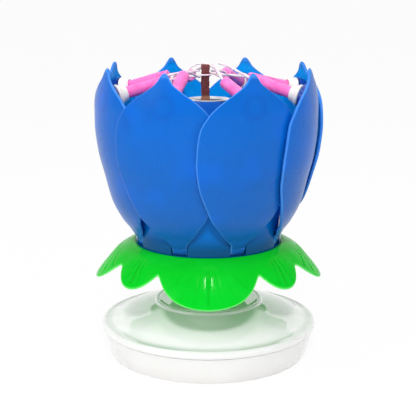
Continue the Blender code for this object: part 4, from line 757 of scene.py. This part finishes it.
FINISHES = {
    "petal_blue": petal_plastic(), "bowl_blue": bowl_plastic(), "leaf_green": leaf_plastic(),
    "shell_white": shell_plastic(),
    "holder_cream": clouded_finish("cream_plastic", HOLDER_CREAM, HOLDER_WHITE, 500, 0.28,
                                   Subsurface_Weight=0.2, Subsurface_Radius=(1.0, 0.8, 0.6),
                                   Subsurface_Scale=0.001),
    "wax_pink": pink_wax(), "cotton_white": cotton(), "fuse_brown": fuse_paper(),
    "cartridge_paper": cartridge_paper(),
    "bright_steel": hidden_finish("bright_steel", (0.55, 0.55, 0.57), (0.66, 0.66, 0.68), 1500, 0.22, 1.0),
    "brass": hidden_finish("brass_sheet", (0.70, 0.50, 0.22), (0.82, 0.62, 0.30), 1200, 0.28, 1.0),
    "gear_white": hidden_finish("acetal_white", (0.78, 0.78, 0.75), (0.86, 0.86, 0.84), 500, 0.4),
    "board_green": hidden_finish("solder_mask", (0.015, 0.15, 0.04), (0.03, 0.24, 0.08), 900, 0.4),
    "black_plastic": hidden_finish("black_plastic", (0.008, 0.008, 0.009), (0.018, 0.018, 0.02), 1300, 0.35),
}
# The boss is the petal's plastic in painted shade, darker than the blade
BOSS_SHADE_FINISH = clouded_finish("boss_shaded_plastic", BOSS_DEEP_SHADE_BLUE, BOSS_SHADE_BLUE, 420, 0.24, depth=0.00006)
TUBE_FINISH = clouded_finish("tube_plastic", TUBE_DEEP_BLUE, TUBE_BLUE, 160, 0.25, start=0.35)


# Petals


def petal_azimuth(index):
    """Azimuth of a petal's middle; the first stands right of the front."""
    return -QUARTER_TURN + PETAL_TURN + FULL_TURN / PETALS * (index + 0.5)


def petal_places():
    """Each petal's number with the matrix and offset from its hinge's frame."""
    for index in range(PETALS):
        azimuth = petal_azimuth(index)
        offset = (HINGE_RADIUS * math.cos(azimuth), HINGE_RADIUS * math.sin(azimuth), HINGE_HEIGHT)
        yield index + 1, turned(azimuth), offset


def petal_radius(share):
    """Distance of the petal's middle line from the axis, by share of its length."""
    return BOWL_RADIUS + PETAL_BULGE * curve(BULGE_SHARES, share)


def petal_half_width(share):
    """Half the petal's width, by share of its length."""
    return PETAL_WIDTH / 2 * curve(WIDTH_SHARES, share)


def petal_points(across, share, depth):
    """Points in the hinge's frame, +X out, +Y along the rim and +Z up.

    The blade lies on a cylinder whose radius follows the length, and falls
    steadily from the left edge to the right one, so the left edge laps over.
    Depth is measured square to the surface along its length.
    """
    radius = petal_radius(share)
    angle = across * petal_half_width(share) / radius
    low, high = np.clip(share - SLOPE_STEP, -1, 1), np.clip(share + SLOPE_STEP, -1, 1)
    slope = (petal_radius(high) - petal_radius(low)) / ((high - low) * PETAL_LENGTH)
    lean = np.hypot(1, slope)
    radius = radius - PETAL_LAP_STEP * angle / (FULL_TURN / PETALS) + depth / lean
    height = share * PETAL_LENGTH - depth * slope / lean
    return np.stack([radius * np.cos(angle) - HINGE_RADIUS, radius * np.sin(angle), height], -1)


def blade_form():
    """The blade and its stem as one closed sheet with round edges.

    Each row of the grid goes over the outer face and back over the inner one,
    and the rows crowd a little towards the tip.  The half thickness is a
    quarter ellipse of the distance to the rim.
    """
    foot = -STEM_DROP / PETAL_LENGTH
    from_tip = (1 - np.linspace(0, 1, BLADE_ROWS)) ** ROW_CROWDING
    share = (foot + (1 - foot) * (1 - from_tip))[:, None]
    over = np.sin(np.linspace(-QUARTER_TURN, QUARTER_TURN, BLADE_ROW_POINTS))
    across = np.concatenate([over, over[-2:0:-1]])[None, :]
    face = np.concatenate([np.ones(BLADE_ROW_POINTS), -np.ones(BLADE_ROW_POINTS - 2)])[None, :]
    sideways = petal_half_width(share) * (1 - np.abs(across))
    to_rim = np.minimum(sideways, (1 - share) * PETAL_LENGTH * TIP_ROUNDING_SHARE)
    to_rim = np.minimum(to_rim, (share - foot) * PETAL_LENGTH)
    thickness = PETAL_WALL / 2 * quarter_ellipse(to_rim, PETAL_WALL / 2)
    points = petal_points(across + 0 * share, share + 0 * across, face * thickness)
    side = across * petal_half_width(share)
    # A faint ring of painted shade where the boss shows through the petal
    from_boss = np.hypot(side, share * PETAL_LENGTH - (PETAL_LENGTH - BOSS_BELOW_TIP))
    mark = np.exp(-((from_boss - BOSS_RADIUS * BOSS_SHADE_RADIUS_SHARE) / BOSS_SHADE_WIDTH) ** 2)
    # The rim's share, which also carries the painted highlight along the rim
    rim = 1 - step_up(0, PETAL_RIM, to_rim)
    # inside carries the painted light on the inner faces
    return Form(points, grid_faces(len(share), across.size, False, True), reach=share + 0 * across, rim=rim,
                inside=np.where(face < 0, 1.0, 0.0) * (1 - rim), mark=mark * (face > 0))


def barrel_form():
    """Round foot of the petal with its two pins, turned about the hinge."""
    half = STEM_WIDTH / 2
    outline = softened([
        (0, -PIN_END, 0), (PIN_RADIUS, -PIN_END, EASED), (PIN_RADIUS, -half, CRISP),
        (BARREL_RADIUS, -half, ROUNDED), (BARREL_RADIUS, half, ROUNDED), (PIN_RADIUS, half, CRISP),
        (PIN_RADIUS, PIN_END, EASED), (0, PIN_END, 0)])
    return lathe(outline, 32).moved(turned(-QUARTER_TURN, 0))


def to_candle(points):
    """From the candle's own frame, +Z from boss to wick, to the hinge's frame."""
    middle = 1 - BOSS_BELOW_TIP / PETAL_LENGTH
    root = np.array([float(petal_radius(middle)) - HINGE_RADIUS, 0, middle * PETAL_LENGTH])
    return points @ turned(CANDLE_TILT - QUARTER_TURN, 1).T + root


def boss_form():
    """Candle boss: circles that go from the blade's own surface to a flat end.

    A circle's points move in a straight line from the root, on the blade, to
    the end, square to the candle; the root is flared by a fillet.
    """
    turn = circle(48)
    middle = 1 - BOSS_BELOW_TIP / PETAL_LENGTH
    place = np.array(BOSS_PLACE_SHARES)[:, None]
    radius = BOSS_RADIUS * np.array(BOSS_RADIUS_SHARES)[:, None]
    side, up = radius * np.cos(turn), radius * np.sin(turn)
    share = middle + up / PETAL_LENGTH
    root = petal_points(side / petal_half_width(share), share, 0 * side)
    end = to_candle(np.stack([up, side, BOSS_END + 0 * up], -1))
    return Form(root + (end - root) * place[..., None], grid_faces(len(place), turn.size, False, True))


def holder_form():
    """Flared holder with a rounded skirt and an open socket."""
    seat, socket = BOSS_END + GAP, CANDLE_RADIUS + GAP / 2
    top = seat + HOLDER_LENGTH
    outline = softened([
        (0, seat, 0), (HOLDER_FLARE * HOLDER_FOOT_SHARE, seat, ROUNDED),
        (HOLDER_FLARE, seat + HOLDER_RIM_HEIGHT, HOLDER_RIM_SOFTNESS),
        (HOLDER_NOSE + HOLDER_WAIST_STEP, seat + HOLDER_WAIST_HEIGHT, HOLDER_WAIST_SOFTNESS),
        (HOLDER_NOSE, top, CRISP), (socket, top, CRISP), (socket, top - SOCKET_DEPTH, CRISP),
        (0, top - SOCKET_DEPTH, 0)])
    holder = lathe(outline, 48)
    return Form(to_candle(holder.points), holder.faces)


def leaning(points, number):
    """Points of a candle's own frame, leant up and sideways about its socket."""
    up, sideways = np.radians(CANDLE_LEANS[number - 1])
    socket = np.array([0, 0, BOSS_END + GAP + HOLDER_LENGTH - SOCKET_DEPTH / 2])
    return (points - socket) @ (turned(up, 1) @ turned(sideways, 0)).T + socket


def candle_form(number):
    """Slim candle, a little uneven along its length, with a melted-looking end."""
    low, high = CANDLE_FOOT, CANDLE_FOOT + CANDLE_LENGTH
    heights = np.linspace(low + CRISP, high - CANDLE_END_SIDE, 26)
    draw = np.random.default_rng(number)
    wobble = sum(draw.normal(0, CANDLE_WAVE) * np.sin(n * CANDLE_WAVE_TURN * heights + draw.uniform(0, 6))
                 for n in range(1, 5))
    side = np.stack([CANDLE_RADIUS - CANDLE_PLAY + wobble, heights], 1)
    end = softened([
        (CANDLE_RADIUS - CANDLE_PLAY, high - CANDLE_END_SIDE, 0),
        (CANDLE_RADIUS - CANDLE_END_PLAY, high, CANDLE_END_SOFTNESS), (WICK_RADIUS * 1.5, high, ROUNDED),
        (WICK_RADIUS * 1.1, high - WICK_DIP, CRISP), (0, high - WICK_DIP, 0)])[1:]
    outline = np.concatenate([[(0, low)], side, end])
    rim = step_up(high - CANDLE_RIM, high, outline[:, 1:]) + np.zeros((1, 36))
    candle = lathe(outline, 36, rim=rim)
    return Form(to_candle(leaning(candle.points, number)), candle.faces, **candle.values)


def wick_form(number, matrix, offset):
    """Twisted wick, in its real place: out of its candle, then in to the fuse.

    It starts along the candle, whose direction comes from a point one metre
    out, and thins over its last few points.
    """
    draw = np.random.default_rng(WICK_SEED + number)
    marks = np.array([[0, 0, CANDLE_FOOT + CANDLE_LENGTH - WICK_ROOT], [0, 0, 1.0], [0, 0, 0]])
    start, far, root = to_candle(leaning(marks, number)) @ matrix.T + np.array(offset)
    end = np.array(WICK_ENDS[number - 1])
    third = np.linalg.norm(end - start) / 3
    stray = draw.normal(0, WICK_STRAY, (2, 3))
    back = (start - end) / 3 * (1, 1, 0.4)
    path = bezier([start, start + (far - root) * third + stray[0], end + back + stray[1], end], 24)
    radius = WICK_RADIUS * np.concatenate([np.linspace(1, 0.9, 20), np.linspace(0.9, 0.6, 4)])
    return along_path(path, radius, 12, WICK_TWIST, WICK_STRANDS)


def make_petals():
    """Eight petals, each with its boss, holder, candle and wick on one hinge."""
    blade, boss, holder = joined([blade_form(), barrel_form()]), boss_form(), holder_form()
    for number, matrix, offset in petal_places():
        body = "petal_arm_%d" % number
        make_piece("petal_blade_%d" % number, blade.moved(matrix, offset), FINISHES["petal_blue"], body,
                   "petal_blue", ["petal_%d" % number])
        # The boss wears the petal plastic in painted shade
        make_piece("petal_boss_%d" % number, boss.moved(matrix, offset), BOSS_SHADE_FINISH, body, "petal_blue")
        make_piece("holder_%d" % number, holder.moved(matrix, offset), FINISHES["holder_cream"], body,
                   "holder_cream", ["candle_holder_%d" % number])
        candle = candle_form(number).moved(matrix, offset)
        make_piece("small_candle_%d" % number, candle, FINISHES["wax_pink"], body, "wax_pink",
                   ["candle_%d" % number])
        make_piece("twisted_wick_%d" % number, wick_form(number, matrix, offset), FINISHES["cotton_white"],
                   body, "cotton_white", ["wick_%d" % number])


# Calyx


def skirt(reach):
    """Outer (radius, height) of the skirt at a share of its full reach."""
    places = np.linspace(0, 1, len(SKIRT_RADIUS_SHARES))
    radius = CALYX_LIP_RADIUS + CALYX_LOBE_REACH * curve(list(zip(places, SKIRT_RADIUS_SHARES)), reach)
    return radius, CALYX_LIP_TOP - CALYX_SKIRT_DROP * curve(list(zip(places, SKIRT_DROP_SHARES)), reach)


def lobe_place(azimuth):
    """Angle from the nearest large lobe's middle, whether it is on that lobe, and a share.

    The share goes from 0 in a lobe's middle, large or small, to 1 in the
    notches.
    """
    offset = (azimuth + QUARTER_TURN + QUARTER_TURN / 2) % QUARTER_TURN - QUARTER_TURN / 2
    small_half = QUARTER_TURN / 2 - LARGE_LOBE_HALF_ANGLE
    large = np.abs(offset) <= LARGE_LOBE_HALF_ANGLE
    share = np.where(large, np.abs(offset) / LARGE_LOBE_HALF_ANGLE,
                     (QUARTER_TURN / 2 - np.abs(offset)) / small_half)
    return offset, large, share


def side_lobe(azimuth):
    """From 0 on the front and back large lobes to 1 on the left and right ones."""
    return np.cos(azimuth) ** 2


def lobe_reach(azimuth):
    """How far the skirt reaches: each lobe is a rounded bump over the notches.

    The bump is a power of 1 - share^2, and a hyperbola rounds it at the notch.
    """
    _, large, share = lobe_place(azimuth)
    top = np.where(large, 1.0, SMALL_LOBE_REACH)
    blunt = np.where(side_lobe(azimuth) > 0.5, SIDE_LOBE_ROUNDNESS, LARGE_LOBE_ROUNDNESS)
    swell = np.maximum(1 - share ** 2, 0) ** np.where(large, blunt, SMALL_LOBE_ROUNDNESS)
    full_bump = math.hypot(1, NOTCH_ROUNDNESS) - NOTCH_ROUNDNESS
    bump = (np.hypot(swell, NOTCH_ROUNDNESS) - NOTCH_ROUNDNESS) / full_bump
    return NOTCH_REACH + (top - NOTCH_REACH) * bump


def vein_depth(azimuth, reach):
    """Fine grooves that fan out over each lobe like veins, deepest on the side lobes.

    A large lobe has a middle vein and three on either side, a small lobe a
    middle vein and one on either side; each fades in past the lip and out
    before the rim.
    """
    offset, large, _ = lobe_place(azimuth)
    on_large = np.where(large, offset, NO_VEIN_ANGLE)
    on_small = np.where(large, NO_VEIN_ANGLE, (QUARTER_TURN / 2 - np.abs(offset)) * np.sign(offset))
    spread = VEIN_ROOT_SPREAD + (1 - VEIN_ROOT_SPREAD) * reach
    depth = 0 * azimuth * reach
    for lobe, count, step in ((on_large, 3, LARGE_LOBE_VEIN_STEP), (on_small, 1, SMALL_LOBE_VEIN_STEP)):
        for k in range(-count, count + 1):
            width, strength = OTHER_VEIN if k else MIDDLE_VEIN
            groove = np.exp(-((lobe / spread - k * step) / (width / spread)) ** 2)
            depth = np.maximum(depth, groove * (strength + SIDE_LOBE_VEIN_SHARE * side_lobe(azimuth)))
    return depth * step_up(*VEIN_FADES[:2], reach) * (1 - step_up(*VEIN_FADES[2:], reach))


def cup_corners():
    """Corners of the calyx's cup, down its outside and up its inside to the lip."""
    inside = BOWL_RADIUS + GAP
    outside = inside + CALYX_WALL / 2
    floor = CALYX_FOOT + CALYX_WALL
    return np.array([
        (outside, CALYX_LIP_TOP - 2 * CALYX_WALL), (outside, CALYX_FOOT + CUP_CHAMFER),
        (outside - CUP_CHAMFER, CALYX_FOOT), (CALYX_HOLE, CALYX_FOOT), (CALYX_HOLE, floor),
        (inside - CUP_FILLET, floor), (inside, floor + CUP_FILLET), (inside, CALYX_LIP_TOP - CALYX_WALL),
        (BOWL_RADIUS + LIP_PLAY, CALYX_LIP_TOP - LIP_LAND_LOW),
        (BOWL_RADIUS + LIP_PLAY, CALYX_LIP_TOP - LIP_LAND_HIGH)])


def calyx_form():
    """Skirt, lip and cup as one closed sheet that runs round each azimuth.

    The rows go out over the skirt's upper face, round its thin rim, back under
    it, down the cup's outside and up its inside.
    """
    azimuth = circle(480)
    full = lobe_reach(azimuth)
    out = np.linspace(0, 1, 30)[:, None]
    reach = out * full
    radius, height = skirt(reach)
    height = height + SIDE_LOBE_LIFT * side_lobe(azimuth) ** 4 * step_up(0.5, 1.0, reach)
    ahead, behind = skirt(np.minimum(reach + SLOPE_STEP, 1)), skirt(np.maximum(reach - SLOPE_STEP, 0))
    run, rise = ahead[0] - behind[0], ahead[1] - behind[1]
    up_r, up_z = -rise / np.hypot(run, rise), run / np.hypot(run, rise)
    to_rim = (1 - out) * full * (CALYX_LOBE_REACH + CALYX_SKIRT_DROP) * SKIRT_LENGTH_SHARE
    wall = CALYX_WALL * (RIM_WALL_SHARE + (1 - RIM_WALL_SHARE) * np.clip(to_rim / RIM_TAPER, 0, 1))
    half = wall / 2 * quarter_ellipse(to_rim, wall / 2)
    vein = vein_depth(azimuth, out + 0 * azimuth)
    middle_r, middle_z = radius - up_r * CALYX_WALL / 2, height - up_z * CALYX_WALL / 2
    above, below = half - VEIN_DEPTH * vein, half - UNDER_VEIN_SHARE * VEIN_DEPTH * vein
    cup = cup_corners()
    none = np.zeros((len(cup), azimuth.size))
    rows_r = np.concatenate([middle_r + up_r * above, (middle_r - up_r * below)[::-1], cup[:, :1] + none])
    rows_z = np.concatenate([middle_z + up_z * above, (middle_z - up_z * below)[::-1], cup[:, 1:] + none])
    points = np.stack([rows_r * np.cos(azimuth), rows_r * np.sin(azimuth), rows_z], -1)
    rim = 1 - step_up(0, CALYX_RIM, to_rim)
    # vein also carries the painted shade of the grooves, weaker underneath
    return Form(points, grid_faces(len(points), azimuth.size, True, True),
                rim=np.concatenate([rim, rim[::-1], none]),
                vein=np.concatenate([vein, UNDER_SHADE_SHARE * vein[::-1], none]),
                reach=np.concatenate([reach, reach[::-1], none]))


# Bowl


def cut_away(obj, form):
    """Takes a closed form out of a piece."""
    cutter = bpy.data.objects.new("cutter", closed_mesh("cutter", form))
    bpy.context.collection.objects.link(cutter)
    cut = obj.modifiers.new("cut", "BOOLEAN")
    cut.operation, cut.solver, cut.object = "DIFFERENCE", "EXACT", cutter
    finished = bpy.data.meshes.new_from_object(obj.evaluated_get(bpy.context.evaluated_depsgraph_get()))
    obj.modifiers.clear()
    obj.data = finished
    bpy.data.objects.remove(cutter, do_unlink=True)


def window_form():
    """Windows for the petals' stems: rounded rectangles carried out through the wall.

    The rectangle is a superellipse that stands square to the petal's radius.
    """
    turn = circle(40)
    low, high = HINGE_HEIGHT - WINDOW_BELOW_HINGE, HINGE_HEIGHT + WINDOW_ABOVE_HINGE
    side, up = superellipse(turn, STEM_WIDTH / 2 + GAP, (high - low) / 2, WINDOW_POWER)
    out = np.repeat([WINDOW_INNER_RADIUS, WINDOW_OUTER_RADIUS], 2)[:, None]
    points = np.stack([out + 0 * turn, side + 0 * out, (low + high) / 2 + up + 0 * out], -1)
    for end in (0, -1):
        points[end] = points[end].mean(0)
    window = Form(points, grid_faces(len(out), turn.size, False, True))
    return joined([window.moved(turned(petal_azimuth(index))) for index in range(PETALS)])


def bore_form():
    """Bores for the petals' pins, across each window in the bowl's wall."""
    radius, end = PIN_RADIUS + GAP, PIN_END + GAP
    bore = lathe([(0, -end), (radius, -end), (radius, end), (0, end)], 24).moved(turned(-QUARTER_TURN, 0))
    return joined([bore.moved(matrix, offset) for _, matrix, offset in petal_places()])


def make_bowl():
    """Smooth bowl that narrows to a waist over the hinges, with windows and bores."""
    bowl = make_piece("smooth_bowl", lathe(softened(BOWL_CORNERS), 160, True), FINISHES["bowl_blue"],
                      "flower", "bowl_blue", ["receptacle"])
    for form in (window_form(), bore_form()):
        cut_away(bowl, form)


# Base


def node_form(node):
    """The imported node's own surface, to be finished smooth."""
    mesh = frame["nodes"][node].data
    points = np.empty(3 * len(mesh.vertices))
    mesh.vertices.foreach_get("co", points)
    return Form(points, np.array([face.vertices[:] for face in mesh.polygons]))


def make_base():
    """Domed lid with its collar and sunk floor, the lower shell, and the turning spindle."""
    white = FINISHES["shell_white"]
    make_piece("dome_lid", lathe(softened(LID_CORNERS), 144, True), white, "base", "shell_white",
               ["base_lid"])
    make_piece("lower_shell", node_form("base_body"), white, "base", "shell_white", ["base_body"],
               crease=LOWER_SHELL_CREASE)
    make_piece("turning_spindle", lathe(softened(SPINDLE_CORNERS), 96, True), white, "flower", "shell_white",
               ["spindle"])


# Sparkler


def tube_form():
    """Tube with a bevelled foot and a rounded mouth."""
    inner, mouth, bevel = TUBE_RADIUS - TUBE_WALL, TUBE_TOP - TUBE_MOUTH_DROP, TUBE_FOOT + TUBE_FOOT_BEVEL
    outline = softened([
        (inner, bevel, EASED), (TUBE_RADIUS - EASED, TUBE_FOOT, ROUNDED),
        (TUBE_RADIUS, bevel, TUBE_BEVEL_SOFTNESS), (TUBE_RADIUS, mouth, TUBE_MOUTH_SOFTNESS),
        (inner, mouth, TUBE_MOUTH_SOFTNESS), (inner, TUBE_TOP - TUBE_MOUTH_LAND, TUBE_BEVEL_SOFTNESS)])
    return lathe(outline, 80, True)


def cartridge_form():
    """Paper cup in the tube, with a lip over its mouth round a sunk floor of powder."""
    cup, lip = TUBE_RADIUS - TUBE_WALL - PAPER_PLAY, TUBE_RADIUS - PAPER_PLAY
    foot, crown = TUBE_FOOT + PAPER_FOOT_LIFT, TUBE_TOP + PAPER_LIP_RISE
    floor = crown - PAPER_LIP_DEPTH
    outline = softened([
        (0, foot, 0), (cup, foot, ROUNDED), (cup, TUBE_TOP, CRISP), (lip, TUBE_TOP, CRISP),
        (lip, crown, EASED), (lip - PAPER_LIP_WIDTH, crown, EASED), (lip - PAPER_FLOOR_START, floor, CRISP),
        (lip - POWDER_FULL, floor, 0), (0, floor, 0)])
    powder = (outline[:, :1] < lip - POWDER_START) & (outline[:, 1:] > (foot + floor) / 2)
    return lathe(outline, 64, along=np.where(powder, 1.0, 0.0) + np.zeros((1, 64)))


def strip_form():
    """Flat fuse strip: a rounded rectangle carried up, with small waves in it.

    The rectangle is a superellipse, and each level is shifted and thinned by
    slow sine waves.
    """
    level = np.linspace(0, 1, 60)[:, None]
    turn = circle(40)
    x, y = superellipse(turn, FUSE_WIDTH / 2 * FUSE_WIDTH_SHARE, FUSE_THICKNESS / 2, FUSE_POWER)
    thin = 1 - 0.05 * np.sin(31 * level + 1) - 0.04 * np.sin(77 * level)
    height = FUSE_FOOT - FUSE_ROOT + (FUSE_TOP - FUSE_FOOT + FUSE_ROOT) * level
    centre = FUSE_OFFSET + FUSE_SWAY * np.sin(9 * level)
    ripple = FUSE_RIPPLE * np.sin(14 * height * 1000 + 3 * turn)
    points = np.stack([centre + x * thin + ripple * np.cos(turn), y * thin + ripple * np.sin(turn),
                       height + 0 * turn], -1)
    foot, top = [points[i].mean(0, keepdims=True) + 0 * points[i] for i in (0, -1)]
    points = np.concatenate([foot[None], points, top[None]])
    along = np.concatenate([[[0.0]], level, [[1.0]]]) + 0 * turn
    return Form(points, grid_faces(len(points), turn.size, False, True), along=along)


def wrap_path(height, count=26):
    """Path of one turn round the strip: a rounded rectangle that climbs a little."""
    t = np.linspace(0, FULL_TURN, count)
    x, y = superellipse(t, FUSE_WIDTH / 2 + THREAD_RADIUS, FUSE_THICKNESS / 2 + THREAD_RADIUS, THREAD_POWER)
    return np.stack([FUSE_OFFSET + x, y, height + THREAD_CLIMB * t / FULL_TURN], -1)


def thread_form():
    """Thread tied round the fuse: one turn, a knot behind and two loose ends."""
    height = FUSE_TOP - KNOT_BELOW_TOP
    wrap = along_path(wrap_path(height), THREAD_RADIUS, 8, 60.0, 2)
    turn = np.linspace(0, FULL_TURN, 14)
    ring = np.stack([FUSE_OFFSET + KNOT_RADIUS * np.cos(turn), FUSE_THICKNESS / 2 + KNOT_BEHIND + 0 * turn,
                     height + KNOT_RADIUS * np.sin(turn)], -1)[:-1]
    knot = along_path(ring, THREAD_RADIUS, 8, closed=True)
    ends = [along_path(bezier(end, 26), THREAD_RADIUS * LOOSE_END_SHARE, 8, 30.0, 2) for end in THREAD_ENDS]
    return joined([wrap, knot, *ends])


def make_sparkler():
    """Tube, paper cartridge, fuse strip and the thread round it."""
    make_piece("sparkler_sleeve", tube_form(), TUBE_FINISH, "flower", "bowl_blue", ["sparkler_tube"])
    for name, form, slot, node in (
            ("paper_cartridge", cartridge_form(), "cartridge_paper", "sparkler_cartridge"),
            ("fuse_strip", strip_form(), "fuse_brown", "fuse"),
            ("thread_wrap", thread_form(), "cotton_white", "tie_thread")):
        make_piece(name, form, FINISHES[slot], "flower", slot, [node])


def dress_kept_nodes():
    """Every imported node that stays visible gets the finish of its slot."""
    slots = {part["node"]: part["material_slot"] for part in frame["record"]["subparts"]}
    for name, obj in frame["nodes"].items():
        obj.data.materials.clear()
        obj.data.materials.append(FINISHES[slots[name]])


# Stage, light and camera


def make_stage():
    """Pale floor that shows white to the camera and keeps a soft shadow."""
    mesh = bpy.data.meshes.new("floor")
    corners = [(x * FLOOR_REACH, y * FLOOR_REACH, 0) for x, y in ((-1, -1), (1, -1), (1, 1), (-1, 1))]
    mesh.from_pydata(corners, [], [(0, 1, 2, 3)])
    floor = bpy.data.objects.new("floor", mesh)
    bpy.context.collection.objects.link(floor)
    f = Finish("floor_white")
    seen = f.node("LightPath", output="Is Camera Ray")
    seen = seen.maths("MAXIMUM", seen, f.node("LightPath", output="Is Glossy Ray"))
    f.sockets(Base_Color=FLOOR_GREY, Roughness=0.9)
    glow = f.node("Emission", inputs={"Color": (1, 1, 1), "Strength": 1.0})
    mix = f.tree.nodes.new("ShaderNodeMixShader")
    feed(f.tree, mix.inputs[0], seen * FLOOR_GLOW)
    f.tree.links.new(f.shader.outputs[0], mix.inputs[1])
    f.tree.links.new(glow.socket, mix.inputs[2])
    f.tree.links.new(mix.outputs[0], f.tree.nodes["Material Output"].inputs["Surface"])
    mesh.materials.append(f.material)


def make_surroundings():
    """White to the camera, even light on the object, and in gloss bright behind and dim in front."""
    world = bpy.data.worlds.new("tent")
    bpy.context.scene.world = world
    world.use_nodes = True
    tree = world.node_tree
    path = tree.nodes.new("ShaderNodeLightPath")
    background = tree.nodes["Background"]
    background.inputs["Color"].default_value = (1, 1, 1, 1)
    mirrored = Number(tree, path.outputs["Is Glossy Ray"])
    shown = Number(tree, path.outputs["Is Camera Ray"])
    shown = shown.maths("MAXIMUM", shown, Number(tree, path.outputs["Is Transmission Ray"]))
    coordinates = tree.nodes.new("ShaderNodeTexCoord")
    split = tree.nodes.new("ShaderNodeSeparateXYZ")
    tree.links.new(coordinates.outputs["Generated"], split.inputs[0])
    behind = Number(tree, split.outputs["Y"]).above(*BEHIND_RANGE)
    lit = (1 - mirrored) * AMBIENT_GLOW + mirrored * (FRONT_GLOW + (1 - FRONT_GLOW) * behind)
    feed(tree, background.inputs["Strength"], (1 - shown) * lit + shown)


def make_lamps():
    """Square soft lamps, each turned to its point on the object's axis.

    The key only lights, and the glint only shows in gloss.
    """
    for name, place, aim, side, power in LAMPS:
        light = bpy.data.lights.new(name, "AREA")
        light.size, light.energy = side, power
        lamp = bpy.data.objects.new(name, light)
        bpy.context.collection.objects.link(lamp)
        away = np.array(place) - (0, 0, aim)
        lamp.location = place
        lamp.rotation_euler = (math.acos(away[2] / np.linalg.norm(away)), 0,
                               math.atan2(away[1], away[0]) + QUARTER_TURN)
        lamp.visible_glossy = name != "key"
        lamp.visible_diffuse = name != "glint"


def make_camera():
    """Camera at the photograph's angle: 12.6 degrees down, a long lens."""
    camera = bpy.data.objects.new("camera", bpy.data.cameras.new("camera"))
    bpy.context.collection.objects.link(camera)
    camera.location = CAMERA_PLACE
    camera.rotation_euler = (CAMERA_PITCH, 0, 0)
    camera.data.sensor_width = CAMERA_SENSOR
    camera.data.lens = CAMERA_LENS
    camera.data.shift_x = CAMERA_SHIFT
    camera.data.clip_start = CAMERA_NEAR
    bpy.context.scene.camera = camera
    bpy.context.scene.view_settings.view_transform = "Standard"


make_camera()
dress_kept_nodes()
make_petals()
make_piece("leaf_calyx", calyx_form(), FINISHES["leaf_green"], "flower", "leaf_green", ["calyx"])
make_bowl()
make_base()
make_sparkler()
make_stage()
make_surroundings()
make_lamps()
